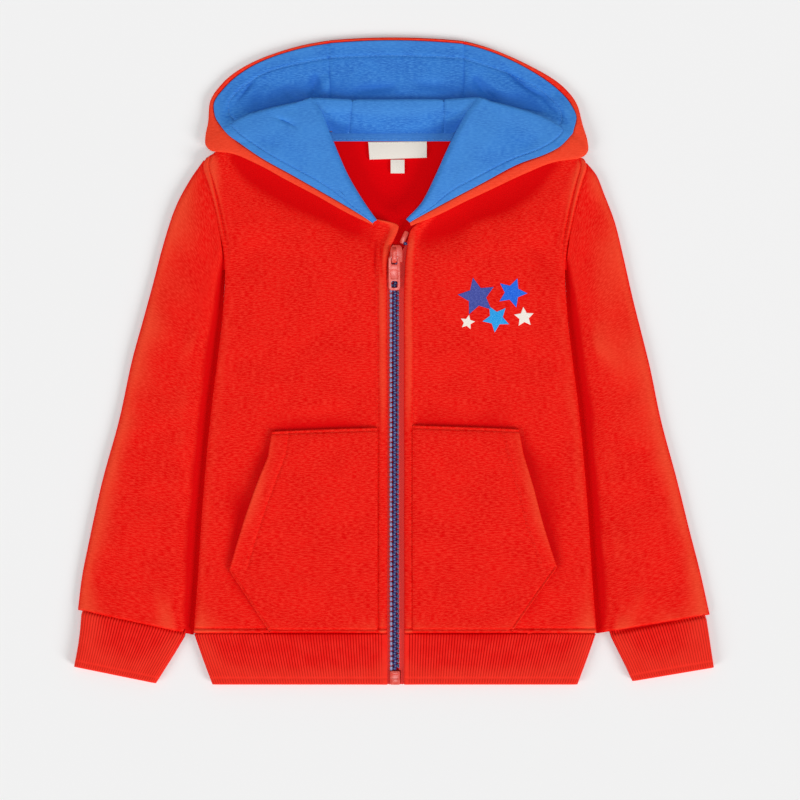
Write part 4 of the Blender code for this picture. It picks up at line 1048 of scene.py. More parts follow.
def banded(grid, rims):
    """The shell's grid carried past the lining's edge, level with it, and over the rim."""
    out = rims - grid[:, -1]
    out[:, 2] = 0.0
    out /= np.linalg.norm(out, axis=1, keepdims=True)
    start = grid[:, -1] + out * BAND_GAP
    columns = []
    for share, rise in BAND:
        place = lerp(start, rims, share)
        place[:, 2] += BAND_STEP * rise
        columns.append(place)
    return np.concatenate([grid, np.stack(columns, axis=1)], axis=1)


def tightness(grid):
    """0 where a grid is level and 1 near its sharp folds, where there is little room inside."""
    sharp = np.zeros(grid.shape[:2])
    hops = np.diff(grid, axis=0)
    hops /= np.maximum(np.linalg.norm(hops, axis=2, keepdims=True), 1e-9)
    sharp[1:-1] = 1.0 - (hops[1:] * hops[:-1]).sum(axis=2)
    for _ in range(5):
        sharp = np.max([sharp, *neighbours(sharp)], axis=0)
    sharp = np.clip(sharp / SHARP, 0.0, 1.0)
    for _ in range(3):
        sharp = sum(neighbours(sharp)) / 4
    return sharp


def add_hood_panel(name, made, materials, seams):
    """Lining and shell of one hood panel. `seams` says which of its end rows are sewn."""
    grid, rims, _ = made
    x, y = grid[..., 0], grid[..., 1]
    lift = relief(x, y, HOOD_FOLDS) + slack(x, y, 4.0)
    lift *= np.clip((np.arange(grid.shape[1]) - 12) / INNER_COLUMNS, 0.0, 1.0)
    lift *= 1.0 - 0.9 * tightness(grid)
    grid = grid + grid_normals(grid) * (lift - seam_drop(grid, seams)[:, None])[..., None]
    hem = np.zeros(grid.shape[1])
    hem[-len(HEM_STEPS):] = (groove(HEM_STEPS - HOOD_HEM_STITCH, 0.55, 1.1)
                             - 0.5 * (1.0 - rounded(HEM_STEPS, 0.9)))
    normal = grid_normals(grid)
    face = grid + normal * (LAYER_GAP / 2 + JERSEY + hem[None, :])[..., None]
    add_panel("lining_" + name, face, JERSEY, materials["jersey"], "jersey", ["hood_" + name],
              back=grid + normal * LAYER_GAP / 2, level=True)
    shell = banded(grid, rims)
    normal = grid_normals(shell)
    columns = np.arange(shell.shape[1])[None, :]
    room = np.clip((columns - INNER_COLUMNS - 2) / 10, 0.0, 1.0)
    near_edge = np.clip((columns - grid.shape[1] + 12) / 8, 0.0, 1.0)
    room = room * np.maximum(1.0 - tightness(shell), near_edge)
    add_panel("hood_" + name, shell - normal * LAYER_GAP / 2, FLEECE, materials["fleece"],
              "fleece", level=True,
              back=shell - normal * (LAYER_GAP / 2 + lerp(0.35, FLEECE, room))[..., None])
    column = face.shape[1] - len(HEM_STEPS) + list(HEM_STEPS).index(HOOD_HEM_STITCH)
    return face[:, column], grid_normals(face)[:, column]


def seam_drop(grid, seams, reach=1.4, depth=1.0):
    """Drop along the seams at a panel's first and last rows, rounded as sewn edges are."""
    at = run_lengths(grid[:, grid.shape[1] * 2 // 3])
    first, last = seams
    return (depth * first * (1.0 - rounded(at, reach))
            + depth * last * (1.0 - rounded(at[-1] - at, reach)))


# -------------------- neck trim and print

INSIDE_TOP = FLEECE + GAP + BINDING


def strip_face(corners, across, along, crown):
    """Grid over a strip inside the back, from its low corners, left and right, to its high ones."""
    corners = [np.array(corner + (INSIDE_TOP,), float) for corner in corners]
    low_left, low_right, high_left, high_right = corners
    share = np.linspace(0.0, 1.0, across)[:, None]
    rows = []
    for t in np.linspace(0.0, 1.0, along):
        line = lerp(lerp(low_left, high_left, t), lerp(low_right, high_right, t), share)
        line[:, 2] += crown * 4 * t * (1 - t) + 0.12 * np.sin(9.0 * share[:, 0] + 2.0 * t)
        rows.append(line)
    return np.array(rows)


def add_neck_trim(materials):
    """Tape over the neck seam, with the two bare labels sewn under it."""
    # Name, cloth, slot, low and high corners, places across and along, crown
    strips = (
        ("neck_tape", "tape", "jersey",
         ((-49.4, 162.9), (45.2, 162.9), (-49.4, 169.9), (45.2, 169.9)), 60, 12, 0.3),
        ("label", "label", "label",
         ((-18.8, 149.4), (23.5, 150.8), (-19.8, 162.4), (23.5, 162.8)), 44, 16, 0.35),
        ("size_tab", "label", "label",
         ((-3.2, 139.2), (7.0, 139.2), (-3.2, 149.3), (7.0, 149.3)), 14, 14, 0.3))
    faces, trim = {}, []
    for name, cloth, slot, *shape in strips:
        faces[name] = strip_face(*shape)
        piece = add_shell(name + "_cloth", faces[name], BINDING, materials[cloth], slot)
        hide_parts(name)
        trim.append(piece)
    tape, label = faces["neck_tape"], faces["label"]
    for name, row, thread, sizes in (("neck_tape_stitches", tape[-2], "thread", (3.0, 2.3, 0.24)),
                                     ("neck_tape_seam", tape[2], "thread", (3.0, 2.3, 0.24)),
                                     ("label_stitches", label[-2], "label_thread",
                                      (2.2, 1.6, 0.18))):
        up = np.tile((0.0, 0.0, 1.0), (len(row), 1))
        trim.append(add_stitches(name, [(row + up * 0.1, up)], materials[thread], *sizes))
    return trim


# Plain stars: centre, point radius, turn in degrees and colour
STARS = rows_of(
    "x y radius turn ink",
    (60.6, 47.6, 14.4, 12, "ink_navy"),
    (86.6, 50.4, 11.4, -20, "ink_royal"),
    (74.8, 31.4, 10.4, 30, "ink_sky"),
    (95.4, 32.4, 7.6, 4, "ink_pale"),
    (53.6, 28.6, 5.6, -12, "ink_pale"))
INNER_POINT = 0.48
# Rings of a star from its edge inwards: share of its size, and height over the cloth
STAR_RINGS = ((1.0, -0.2), (1.0, 0.06), (0.975, 0.14), (0.93, 0.16), (0.84, 0.16), (0.7, 0.16),
              (0.52, 0.16), (0.3, 0.16), (0.06, 0.16))


def star_outline(radius, turn, sides=9):
    """Points round a plain five-pointed star."""
    corner = np.arange(11)
    angle = np.radians(90.0 + turn + 36.0 * corner)
    reach = radius * np.where(corner % 2, INNER_POINT, 1.0)
    new = np.linspace(0.0, 10.0, 10 * sides + 1)[:-1]
    return [np.interp(new, corner, reach * way) for way in (np.cos(angle), np.sin(angle))]


def add_print(materials):
    """Flocked stars that lie on the cloth and follow its folds."""
    for number, star in enumerate(STARS, 1):
        aside, up = star_outline(star.radius, star.turn)
        rings = []
        for share, height in STAR_RINGS:
            x, y = star.x + aside * share, star.y + up * share
            rings.append(np.stack([x, y, BODY_HEIGHT + front_relief(x, y) + height], axis=1))
        points, faces = loft(rings)
        count, centre = len(aside), len(points)
        middle = [(centre, centre - count + k, centre - count + (k + 1) % count)
                  for k in range(count)]
        points.append((star.x, star.y, rings[-1][:, 2].mean()))
        add_mesh(f"star_{number}", points, faces[:-2] + middle, materials[star.ink], "fleece",
                 sharp=180.0)


# -------------------- zip

TAPE_TOP_Z = 5.8
CHAIN_TOP_Z = 6.5
TOOTH_PITCH = 3.68       # from one tooth to the next on the same tape
CHAIN_LOW_Y, CHAIN_HIGH_Y = -227.6, 73.5
OPEN_LEFT_Y, OPEN_RIGHT_Y = 87.4, 87.0    # the tooth of each tape that shows over the slider
SLIDER_X, SLIDER_Y = 1.0, 79.3
POST_Y = 83.4            # the post that joins the slider's two plates
BRIDGE_Y, BRIDGE_Z = 78.1, 8.0            # middle of the bridge's feet
HINGE_Y, HINGE_Z = 76.5, 9.45
TAB_X = -0.5
TAB_MIDDLE = 11.7        # from the hinge to the middle of the tab
TAB_HALF = 0.7           # half its thickness
TAB_TILT = math.radians(2.5)


def loft(rings):
    """Points and faces of a solid through closed rings of the same count, capped at both ends."""
    count, total = len(rings[0]), len(rings) * len(rings[0])
    points = [tuple(point) for ring in rings for point in ring]
    faces = []
    for low in range(0, total - count, count):
        for k in range(count):
            follow = (k + 1) % count
            faces.append((low + k, low + follow, low + count + follow, low + count + k))
    return points, faces + [tuple(range(count))[::-1], tuple(range(total - count, total))]


def rounded_rectangle(width, length, radius, steps=4):
    """Outline of a rectangle about the middle, with rounded corners."""
    points = []
    for corner, (cx, cy) in enumerate(((1, 1), (-1, 1), (-1, -1), (1, -1))):
        for step in range(steps + 1):
            angle = math.radians(90.0 * (corner + step / steps))
            points.append((cx * (width / 2 - radius) + radius * math.cos(angle),
                           cy * (length / 2 - radius) + radius * math.sin(angle)))
    return points


def block_parts(width, length, low, high, radius, rounding, x=0.0, y=0.0, turn=0.0):
    """Points and faces of a moulded block with rounded corners and a rounded top edge."""
    rings = []
    for inset, z in ((0.0, low), (0.0, high - rounding),
                     (rounding * 0.3, high - rounding * 0.3), (rounding, high)):
        outline = rounded_rectangle(width - 2 * inset, length - 2 * inset, radius, 3)
        rings.append(placed([(px, py, z) for px, py in outline], x, y, turn))
    return loft(rings)


def placed(points, x, y, turn=0.0):
    """Points turned about the upright and moved to a place."""
    c, s = math.cos(turn), math.sin(turn)
    return [(x + px * c - py * s, y + px * s + py * c, pz) for px, py, pz in points]


def joined(parts):
    """Several lots of points and faces as one."""
    points, faces = [], []
    for more, linked in parts:
        faces += [tuple(index + len(points) for index in face) for face in linked]
        points += list(more)
    return points, faces


def add_solid(name, parts, material, slot, body="garment"):
    """Solid parts as one moulding."""
    return add_mesh(name, *joined(parts), material, slot, body, 35.0)


def zip_at(y):
    """The zip's path at a height."""
    return finer(ZIP_PATH, [row.y for row in ZIP_PATH], [y], straight_through)[0]


def tooth_parts(x, y, side, turn=0.0):
    """One moulded tooth: a foot on its tape, a head that hooks between the other side's, a pip."""
    foot = 1.9 if side < 0 else 1.3
    # Foot, neck, head and pip: width, length, low, high, corner, rounding, shift outwards
    blocks = ((foot, 3.0, 4.3, CHAIN_TOP_Z + 0.1, 0.5, 0.45, 1.9 + foot / 2),
              (2.6, 1.2, 4.5, CHAIN_TOP_Z - 0.1, 0.3, 0.3, 1.0),
              (2.4, 2.3, 4.4, CHAIN_TOP_Z + 0.15, 0.7, 0.45, 0.2),
              (1.0, 0.8, 6.0, CHAIN_TOP_Z + 0.45, 0.3, 0.2, 0.3))
    parts = []
    for *block, shift in blocks:
        points, faces = block_parts(*block, shift)
        if side < 0:
            points = [(-px, py, pz) for px, py, pz in points]
            faces = [face[::-1] for face in faces]
        parts.append((placed(points, x, y, turn), faces))
    return parts


def add_teeth(materials):
    """Chain of teeth, hooked together below the slider, on their own tapes above it."""
    teeth = []
    for number, y in enumerate(np.arange(CHAIN_LOW_Y, CHAIN_HIGH_Y, TOOTH_PITCH / 2)):
        teeth.append(tooth_parts(zip_at(y).centre, y, RIGHT if number % 2 else LEFT))
    row = zip_at(OPEN_LEFT_Y)
    teeth.append(tooth_parts(row.centre - row.left_edge + 1.2, OPEN_LEFT_Y, LEFT, 0.05))
    teeth.append(tooth_parts(row.centre + row.right_edge - 1.0, OPEN_RIGHT_Y, RIGHT, -0.3))
    heads = [part for tooth in teeth for part in tooth[1:3]]
    chain = add_solid("zip_teeth", heads, materials["teeth"], "zip_teeth")
    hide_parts("zip_chain")
    # Feet and pips in a pale acetal: painted highlight on the glossy navy teeth
    pale = [part for tooth in teeth for part in (tooth[0], tooth[3])]
    add_solid("zip_feet_and_pips_painted_highlight", pale, materials["teeth_feet"], "zip_teeth")


def add_tapes(materials):
    """The two tapes of the zip, each with a cord along its inner edge."""
    share = np.linspace(0.0, 1.0, 12)
    for side, name in SIDES:
        rows = []
        for y in spaced([row.y for row in ZIP_PATH], 3.0):
            row = zip_at(y)
            if side < 0:
                start, end, outward = -row.left_outer, row.centre - row.left_edge, 1.0 - share
            else:
                start, end, outward = row.centre + row.right_edge, row.right_outer, share
            height = TAPE_TOP_Z - 0.15 - groove(outward * abs(end - start), 0.25, 1.1)
            rows.append(np.stack([lerp(start, end, share), np.full(len(share), y), height], axis=1))
        add_panel("zip_tape_" + name, np.array(rows), BINDING, materials["zip_tape"], "zip_tape")


def add_zip_ends(materials):
    """The box under the chain and the stop at the top of each tape."""
    ends = {
        "zip_box": [block_parts(7.4, 10.2, 3.9, 7.2, 0.9, 0.45, 0.0, -234.5),
                    block_parts(5.2, 2.2, 7.0, 7.45, 0.5, 0.2, 0.0, -231.2),
                    block_parts(5.2, 3.4, 7.0, 7.45, 0.5, 0.2, 0.0, -236.6)],
        "zip_stop_right": [block_parts(3.6, 10.0, 3.9, 6.1, 1.0, 0.5, 6.9, 91.4,
                                       math.radians(-24.0))],
        "zip_stop_left": [block_parts(3.0, 8.0, 3.9, 6.1, 0.9, 0.5, -2.8, 91.2)]}
    for name, parts in ends.items():
        end = add_solid(name + "_moulding", parts, materials["red_plastic"], "zip_plastic")
        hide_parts(name)


def carve(piece, cutters, rounding):
    """Cut blocks out of a moulding, round its edges, and keep the result as its mesh."""
    tools = []
    for points, faces in cutters:
        tools.append(put_in_scene("cutter", new_mesh("cutter", points, faces)))
        cut = piece.modifiers.new("cut", "BOOLEAN")
        cut.operation = "DIFFERENCE"
        cut.object = tools[-1]
    bevel = piece.modifiers.new("rounding", "BEVEL")
    bevel.width = rounding * MM
    bevel.segments = 3
    bevel.limit_method = "ANGLE"
    bevel.angle_limit = math.radians(40.0)
    bpy.context.view_layer.update()
    depsgraph = bpy.context.evaluated_depsgraph_get()
    finished_mesh = bpy.data.meshes.new_from_object(piece.evaluated_get(depsgraph))
    piece.modifiers.clear()
    piece.data = finished_mesh
    for tool in tools:
        bpy.data.objects.remove(tool, do_unlink=True)
    finished_mesh.shade_smooth()
    finished_mesh.set_sharp_from_angle(angle=math.radians(35.0))


def plate(outline, low, high):
    """A flat plate of this outline between two heights."""
    return loft([[(x, y, z) for x, y in outline] for z in (low, high)])


def add_slider(materials):
    """Slider: two plates joined by a post, and the bridge that the tab hangs from."""
    shield = ((3.9, -6.3), (4.5, -5.6), (4.5, 2.2), (4.0, 4.6), (2.6, 6.3), (-2.6, 6.3),
              (-4.0, 4.6), (-4.5, 2.2), (-4.5, -5.6), (-3.9, -6.3))
    parts = []
    for low, high, scale in ((6.85, 8.25, 1.0), (2.6, 3.8, 0.955)):
        points, faces = plate([(px * scale, py) for px, py in shield], low, high)
        parts.append((placed(points, SLIDER_X, SLIDER_Y), faces))
    parts.append(block_parts(3.0, 4.0, 3.0, 7.4, 0.8, 0.2, SLIDER_X, POST_Y))
    slider = add_solid("slider_moulding", parts, materials["red_plastic"], "zip_plastic")
    carve(slider, [], 0.4)
    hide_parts("slider")
    reach, tall = 5.3, 3.15
    bridge = []
    for t in np.linspace(-1.0, 1.0, 25):
        rise = (1.0 - abs(t) ** 5) ** 0.5
        centre_y, centre_z = BRIDGE_Y + reach * t, BRIDGE_Z + tall * rise
        slope = np.array((reach, -tall * 2.5 * math.copysign(abs(t) ** 4, t) / max(rise, 0.25)))
        normal_y, normal_z = np.array((-slope[1], slope[0])) / np.linalg.norm(slope)
        bridge.append([(SLIDER_X - 1.5 + px, centre_y + normal_y * pz, centre_z + normal_z * pz)
                       for px, pz in rounded_rectangle(3.4, 1.3, 0.5, 3)])
    add_solid("slider_bridge", [loft(bridge)], materials["red_plastic"], "zip_plastic")


def add_pull_tab(materials):
    """Tab with a raised rim, a slot for the bridge and a rounded square hole."""
    outline = [(x, y - TAB_MIDDLE) for x, y in rounded_rectangle(8.6, 25.4, 2.4, 5)]
    tab = add_solid("pull_tab_moulding", [plate(outline, -TAB_HALF, TAB_HALF)],
                    materials["red_plastic"], "zip_plastic", "pull_tab")
    # Slot for the bridge, hole near the end, sunk panel between them: width, length and corner,
    # how far below the hinge, and where the cut begins
    cutters = []
    for shape, down, low in (((4.6, 4.8, 0.9), 2.9, -2.0), ((4.8, 5.0, 1.2), 20.0, -2.0),
                             ((5.6, 6.8, 1.0), 12.6, 0.4)):
        cutters.append(plate([(x, y - down) for x, y in rounded_rectangle(*shape)], low, 2.0))
    carve(tab, cutters, 0.28)
    c, s = math.cos(TAB_TILT), math.sin(TAB_TILT)
    for vertex in tab.data.vertices:
        x, y, z = vertex.co
        vertex.co = (x + TAB_X * MM, y * c - z * s + HINGE_Y * MM, y * s + z * c + HINGE_Z * MM)
    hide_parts("pull_tab")


# -------------------- materials


def colour(code):
    """Linear RGBA of an sRGB hex value."""
    parts = [int(code[k:k + 2], 16) / 255 for k in (1, 3, 5)]
    return [part / 12.92 if part <= 0.04045 else ((part + 0.055) / 1.055) ** 2.4
            for part in parts] + [1.0]


def add_node(tree, kind, inputs=(), **settings):
    """A node with its settings, and its inputs set to a value or colour or linked to a socket."""
    node = tree.nodes.new(kind)
    for name, value in settings.items():
        setattr(node, name, value)
    for name, value in dict(inputs).items():
        if isinstance(value, bpy.types.NodeSocket):
            tree.links.new(value, node.inputs[name])
        else:
            node.inputs[name].default_value = colour(value) if isinstance(value, str) else value
    return node


def new_material(name, **values):
    """A material and its node tree, with its shader's constants set."""
    material = bpy.data.materials.new(name)
    material.use_nodes = True
    shader = material.node_tree.nodes["Principled BSDF"]
    for socket, value in values.items():
        shader.inputs[socket.replace("_", " ")].default_value = value
    return material, material.node_tree


def finished(material, tree, tint, height=None, strength=0.0, depth=0.0):
    """The material with its colour, and with fine relief, `depth` mm deep, where it has any."""
    shader = tree.nodes["Principled BSDF"]
    tree.links.new(tint, shader.inputs["Base Color"])
    if height is not None:
        bump = add_node(tree, "ShaderNodeBump", {"Height": height, "Strength": strength,
                                                 "Distance": depth * MM})
        tree.links.new(bump.outputs[0], shader.inputs["Normal"])
    return material


def over_cloth(tree, width, length):
    """Places along the cloth's grain, where one step of a pattern is `width` by `length` mm."""
    grain = add_node(tree, "ShaderNodeAttribute", attribute_name="grain").outputs["Vector"]
    scale = 1 / (width * MM), 1 / (length * MM), 1 / (width * MM)
    return add_node(tree, "ShaderNodeMapping", {"Vector": grain, "Scale": scale}).outputs[0]


def faded(tree, value, low, high, under, over, most=1.0):
    """Fades one colour into another as a value goes from `low` to `high`; also gives the share."""
    share = add_node(tree, "ShaderNodeMapRange",
                     {"Value": value, "From Min": low, "From Max": high, "To Max": most},
                     interpolation_type="SMOOTHSTEP").outputs["Result"]
    tint = add_node(tree, "ShaderNodeMix", {0: share, 6: under, 7: over}, data_type="RGBA")
    return tint.outputs[2], share


def flecked(tree, place, low, high, under, over, **noise):
    """One colour with flecks of another; also gives the share of it and the raw pattern."""
    pattern = add_node(tree, "ShaderNodeTexNoise",
                       {"Vector": place, "Scale": 1.0, **noise}).outputs["Fac"]
    return *faded(tree, pattern, low, high, under, over), pattern


def relief_shaded_colour(tree, cloth, crest, hollow, most_shade=0.95):
    """The colour of a `cloth`, painted paler towards `crest` on its crests as highlight and darker towards
    `hollow` in its hollows as shade.
    """
    painted_relief_shade = add_node(tree, "ShaderNodeAttribute", attribute_name="painted_relief_shade").outputs["Fac"]
    # Painted shade in the hollows, then painted highlight on the crests
    low, _ = faded(tree, painted_relief_shade, -0.2, -2.5, cloth, hollow, most_shade)
    return faded(tree, painted_relief_shade, 1.1, 3.4, low, crest, 0.4)[0]


def make_fleece(name, base, pale, deep, bloom, crest, hollow):
    """Brushed cotton and polyester fleece: matt, with short streaks of paler yarn along it.

    The fuzz lies flat, so level cloth gives back a little of the light above it, its `bloom`.
    """
    material, tree = new_material(name, Roughness=0.56, Specular_IOR_Level=bloom,
                                  Sheen_Weight=0.004, Sheen_Roughness=0.3)
    ground, *_ = flecked(tree, over_cloth(tree, 26.0, 17.0), 0.36, 0.66, base, deep)
    cloth, _, yarn = flecked(tree, over_cloth(tree, 3.6, 0.75), 0.42, 0.62, ground, pale,
                             Detail=3.0, Roughness=0.65)
    fuzz = add_node(tree, "ShaderNodeTexNoise", {"Vector": over_cloth(tree, 1.1, 0.7),
                                                 "Scale": 1.0, "Detail": 3.0, "Roughness": 0.7})
    height = add_node(tree, "ShaderNodeMath", {0: fuzz.outputs["Fac"], 1: yarn}, operation="ADD")
    # Crests painted paler with `crest` as highlight, hollows darker with `hollow` as shade
    return finished(material, tree, relief_shaded_colour(tree, cloth, crest, hollow), height.outputs[0], 0.5, 0.3)


def make_rib():
    """Ribbed cotton knit: its furrows painted dark red as shade between the ribs, its crests left paler as
    highlight.
    """
    material, tree = new_material("ribbed_knit", Roughness=0.6, Specular_IOR_Level=0.04,
                                  Sheen_Weight=0.004, Sheen_Roughness=0.3)
    wave = add_node(tree, "ShaderNodeAttribute", attribute_name="rib").outputs["Fac"]
    high, *_ = flecked(tree, over_cloth(tree, 9.0, 9.0), 0.36, 0.66, "#F8281E", "#F21E16",
                       Detail=3.0)
    # Painted shade: dark red in the furrows, fading to the crest colour along the ribs' wave
    cloth, _ = faded(tree, wave, 0.05, 0.9, "#B40003", high)
    loops = add_node(tree, "ShaderNodeTexNoise", {"Vector": over_cloth(tree, 0.7, 0.9),
                                                  "Scale": 1.0})
    # Painted highlight and shade by relief as well
    return finished(material, tree, relief_shaded_colour(tree, cloth, "#F2402C", "#C80004"),
                    loops.outputs["Fac"], 0.4, 0.25)


def make_jersey(name, base, pale, deep, crest, hollow):
    """Single jersey of faintly heathered yarn: smooth, with short flecks along its courses."""
    material, tree = new_material(name, Roughness=0.62, Specular_IOR_Level=0.15,
                                  Sheen_Weight=0.02, Sheen_Roughness=0.4)
    ground, *_ = flecked(tree, over_cloth(tree, 18.0, 14.0), 0.36, 0.66, base, deep)
    cloth, _, yarn = flecked(tree, over_cloth(tree, 3.4, 0.8), 0.36, 0.7, ground, pale,
                             Detail=3.0, Roughness=0.6)
    # Painted highlight on crests and painted shade in hollows, the shade held to two thirds
    return finished(material, tree, relief_shaded_colour(tree, cloth, crest, hollow, 0.65), yarn, 0.22, 0.15)


def make_woven(name, base, deep, pitch):
    """Plain weave: tiny checks of warp over weft, drawn coarser than the yarn so that they show."""
    material, tree = new_material(name, Roughness=0.7, Specular_IOR_Level=0.2)
    checks = add_node(tree, "ShaderNodeTexChecker", {"Vector": over_cloth(tree, pitch, pitch),
                                                     "Scale": 1.0}).outputs["Fac"]
    soft = add_node(tree, "ShaderNodeMath", {0: checks, 1: 0.35}, operation="MULTIPLY")
    cloth = add_node(tree, "ShaderNodeMix", {0: soft.outputs[0], 6: base, 7: deep},
                     data_type="RGBA")
    return finished(material, tree, cloth.outputs[2], checks, 0.3, 0.12)


def make_flock(name, base, pale):
    """Flocked print: short fibres, a little paler where they catch the light."""
    material, tree = new_material(name, Roughness=0.8, Sheen_Weight=0.1, Sheen_Roughness=0.4,
                                  Specular_IOR_Level=0.15)
    place = add_node(tree, "ShaderNodeTexCoord").outputs["Object"]
    tint, fibres, _ = flecked(tree, place, 0.4, 0.7, base, pale, Scale=1100.0, Detail=3.0,
                              Roughness=0.7)
    return finished(material, tree, tint, fibres, 0.4, 0.15)


def make_plastic(name, base, worn, roughness):
    """Injection-moulded acetal: smooth, with soft highlights and a faint worn bloom."""
    material, tree = new_material(name, Roughness=roughness, IOR=1.48)
    place = add_node(tree, "ShaderNodeTexCoord").outputs["Object"]
    skin, *_ = flecked(tree, place, 0.4, 0.95, base, worn, Scale=420.0, Detail=1.0)
    flow = add_node(tree, "ShaderNodeTexNoise", {"Vector": place, "Scale": 900.0, "Detail": 1.0})
    return finished(material, tree, skin, flow.outputs["Fac"], 0.08, 0.05)


def make_thread(name, base, pale):
    """Spun polyester thread: a soft twist in two close tones."""
    material, tree = new_material(name, Roughness=0.9, Specular_IOR_Level=0.05)
    place = add_node(tree, "ShaderNodeTexCoord").outputs["Object"]
    return finished(material, tree, flecked(tree, place, 0.4, 0.6, base, pale, Scale=2500.0)[0])


def make_board():
    """Matt white board under the garment."""
    material, tree = new_material("matt_white_board", Roughness=0.9, Specular_IOR_Level=0.1)
    place = add_node(tree, "ShaderNodeTexCoord").outputs["Object"]
    cloud = add_node(tree, "ShaderNodeTexNoise", {"Vector": place, "Scale": 2.0})
    tone = add_node(tree, "ShaderNodeMix", {0: cloud.outputs["Fac"], 6: "#F4F4F4", 7: "#F2F2F2"},
                    data_type="RGBA")
    return finished(material, tree, tone.outputs[2])


def make_materials():
    """Every material of the garment and of the board under it, by name."""
    return {
        # The last two colours of each cloth are its painted highlight on crests and painted shade in hollows
        "fleece": make_fleece("brushed_fleece", "#EA0D08", "#F43022", "#E20604", 0.03,
                              "#F8643E", "#D60004"),
        # The back's wrong side: a more saturated red with little paler crest than the face, partly painted
        # shade for the inside of the neck opening
        "fleece_inside": make_fleece("fleece_wrong_side", "#F00008", "#F80C0E", "#E80006", 0.02,
                                     "#F41414", "#E40008"),
        "rib": make_rib(),
        "jersey": make_jersey("jersey_lining", "#2C74CA", "#438AD8", "#2468C0", "#4A92DA",
                              "#1A5CB8"),
        "tape": make_jersey("neck_tape_jersey", "#4080CE", "#5292DA", "#3878C4", "#5292D8",
                            "#2E6EC0"),
        "label": make_woven("woven_satin_label", "#EDE6DC", "#D9D0C6", 0.7),
        "zip_tape": make_woven("woven_zip_tape", "#F03A34", "#CE2622", 0.9),
        "teeth": make_plastic("moulded_teeth_acetal", "#1F2562", "#34408E", 0.3),
        # Pale lavender painted highlight for the teeth's feet and pips
        "teeth_feet": make_plastic("acetal_painted_highlight", "#7E82AE", "#B4B6CC", 0.35),
        "red_plastic": make_plastic("moulded_slider_acetal", "#DE4638", "#EE7468", 0.3),
        "thread": make_thread("blue_thread", "#3E80CE", "#64A0E2"),
        "red_thread": make_thread("red_thread", "#EA1A10", "#F43A2A"),
        "label_thread": make_thread("pale_thread", "#E6DED4", "#F6F0E8"),
        "ink_navy": make_flock("navy_flock", "#3F4A9C", "#5A64B4"),
        "ink_royal": make_flock("royal_flock", "#1C60DC", "#3E80EE"),
        "ink_sky": make_flock("sky_flock", "#1C98E6", "#4CB4F2"),
        "ink_pale": make_flock("pale_flock", "#F2E8DC", "#FFF8EE"),
        "floor": make_board(),
    }


# -------------------- the garment


def add_body(materials):
    """Fronts, sleeves, cuffs, pockets and hem rib, with the stitches on them."""
    fleece, rib = materials["fleece"], materials["rib"]
    lines = []
    for side, name in SIDES:
        face = front_face(side)
        add_panel("front_" + name, face, FLEECE, fleece, "fleece")
        normal = grid_normals(face)
        rows = body_rows()
        armhole = [k for k, row in enumerate(rows) if ARMHOLE_START_Y + 4.0 < row.y < 147.0]
        column = list(FLAT_EDGE).index(ARMHOLE_STITCH)
        lines.append((face[armhole, column], normal[armhole, column]))
        column = face.shape[1] - len(PLACKET_STEPS) + list(PLACKET_STEPS).index(PLACKET_STITCH)
        placket = [k for k, row in enumerate(rows) if row.rise > 0.5 and row.y > -198.0]
        lines.append((face[placket, column], normal[placket, column]))
        hem = int(np.argmin([abs(row.y - HEM_Y - HEM_STITCH) for row in rows]))
        lines.append((face[hem, 6:-len(PLACKET_STEPS)], normal[hem, 6:-len(PLACKET_STEPS)]))
        add_panel("sleeve_" + name, sleeve_face(side), FLEECE, fleece, "fleece", closed=True,
                  look="out")
        cuff, ribs = cuff_face(side)
        add_panel("cuff_" + name, cuff, RIBBING, rib, "rib", closed=True, look="out", ribs=ribs)
        pocket = pocket_face(side)
        add_panel("pocket_" + name, pocket, FLEECE, fleece, "fleece", ["front_" + name])
        lines += pocket_stitches(pocket, side)
    add_stitches("topstitching", lines, materials["red_thread"], radius=0.17)
    face, ribs = hem_rib_face()
    add_panel("hem_rib", face, RIBBING, rib, "rib", look="out", ribs=ribs)


def pocket_stitches(pocket, side):
    """Lines of stitches along a pocket's opening, its lower seam and its top."""
    normal = grid_normals(pocket)
    at, new = pocket_places()
    opening = new < at[POCKET_WIDEST_ROW] - 1.0
    lower = (new > at[POCKET_WIDEST_ROW] + 1.0) & (new < at[-1] - 2.0)
    top = int(np.argmin(np.abs(new - POCKET_EDGE_STITCH)))
    steps = list(POCKET_EDGE_STEPS)
    hem, edge = steps.index(POCKET_HEM_STITCH), steps.index(POCKET_EDGE_STITCH)
    places = [(opening, hem), (lower, edge), (top, slice(6, None))]
    if side > 0:
        places.append((opening, hem - 3))
    return [(pocket[place], normal[place]) for place in places]


def add_hood(materials):
    """The hood's three panels, each a shell and its lining, and the stitches round its edge."""
    left, right = hood_side(LEFT), hood_side(RIGHT)
    panels = (("left", left, (0, 1)), ("right", right, (0, 1)),
              ("centre", hood_centre(left, right), (1, 1)))
    lines = [add_hood_panel(name, made, materials, seams) for name, made, seams in panels]
    add_stitches("hood_hem_stitches", lines, materials["thread"])


# -------------------- floor, light and camera


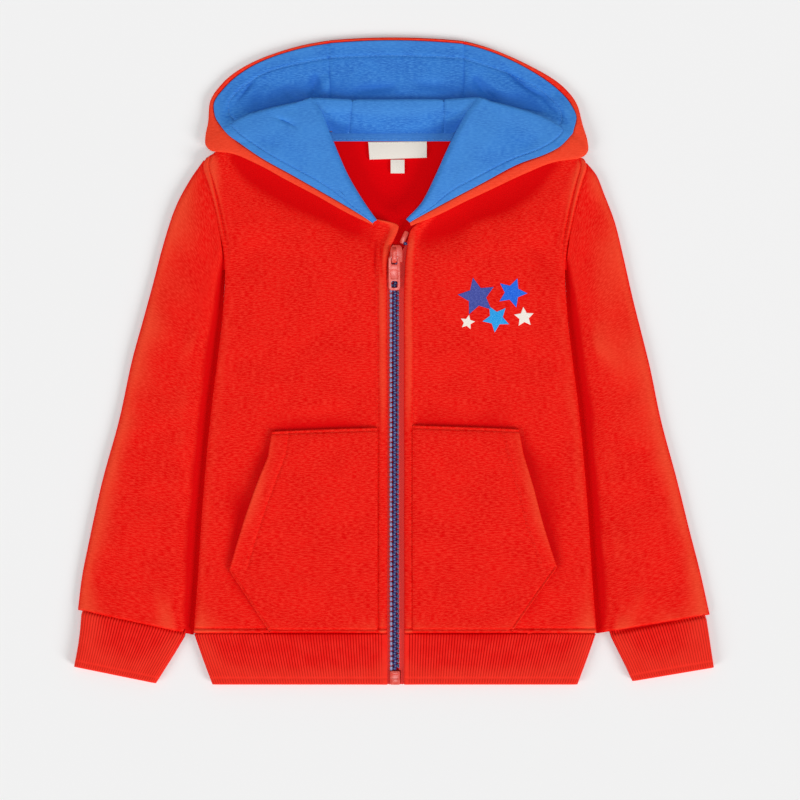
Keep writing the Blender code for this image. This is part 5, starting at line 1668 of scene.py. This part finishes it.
def add_floor(materials):
    """Board that the garment lies on, a hair below it."""
    half, z = 3000.0, -0.2
    corners = [(-half, -half, z), (half, -half, z), (half, half, z), (-half, half, z)]
    mesh = new_mesh("floor", corners, [(0, 1, 2, 3)])
    mesh.materials.append(materials["floor"])
    put_in_scene("floor", mesh)


def add_lamp(name, energy, angle, place):
    """A lamp that shines from the way of `place`, as wide as `angle` degrees."""
    light = bpy.data.lights.new(name, "SUN")
    light.energy = energy
    light.angle = math.radians(angle)
    lamp = put_in_scene(name, light)
    lamp.location = place
    lamp.rotation_euler = lamp.location.to_track_quat("Z", "Y").to_euler()


def light_scene():
    """Soft lights from low on the right and left, one overhead, and an even room round them."""
    add_lamp("softbox_right", 1.85, 24.0, (1.0, -0.7, 0.6))
    add_lamp("softbox_left", 1.2, 28.0, (-1.0, -0.6, 0.62))
    add_lamp("overhead", 0.9, 18.0, (0.05, -0.15, 1.6))
    world = bpy.data.worlds.new("studio")
    world.use_nodes = True
    background = world.node_tree.nodes["Background"]
    background.inputs["Color"].default_value = colour("#FFFFFF")
    background.inputs["Strength"].default_value = 0.26
    bpy.context.scene.world = world


def add_camera():
    """Camera straight above, a little nearer to the hem than to the hood."""
    camera = bpy.data.cameras.new("camera")
    camera.lens = 96.9
    camera.sensor_width = 36.0
    eye = put_in_scene("camera", camera)
    eye.location = (3.7 * MM, -28.9 * MM, 1.6)
    bpy.context.scene.camera = eye


def main():
    """Makes the garment, its painted relief shade, and the scene round it."""
    materials = make_materials()
    trim = add_neck_trim(materials)
    add_panel("back", back_face(), FLEECE, materials["fleece_inside"], "fleece", with_pieces=trim,
              look="down")
    for add in (add_body, add_hood, add_print, add_tapes, add_teeth, add_zip_ends, add_slider,
                add_pull_tab):
        add(materials)
    # Painted shade and highlight, from how far each bit of cloth stands out
    paint_relief_shade([piece for piece in bpy.context.scene.objects if piece.type == "MESH"
               and "grain" in piece.data.attributes])
    add_floor(materials)
    light_scene()
    add_camera()
    scene = bpy.context.scene
    scene.view_settings.view_transform = "Standard"
    bpy.context.view_layer.update()


main()
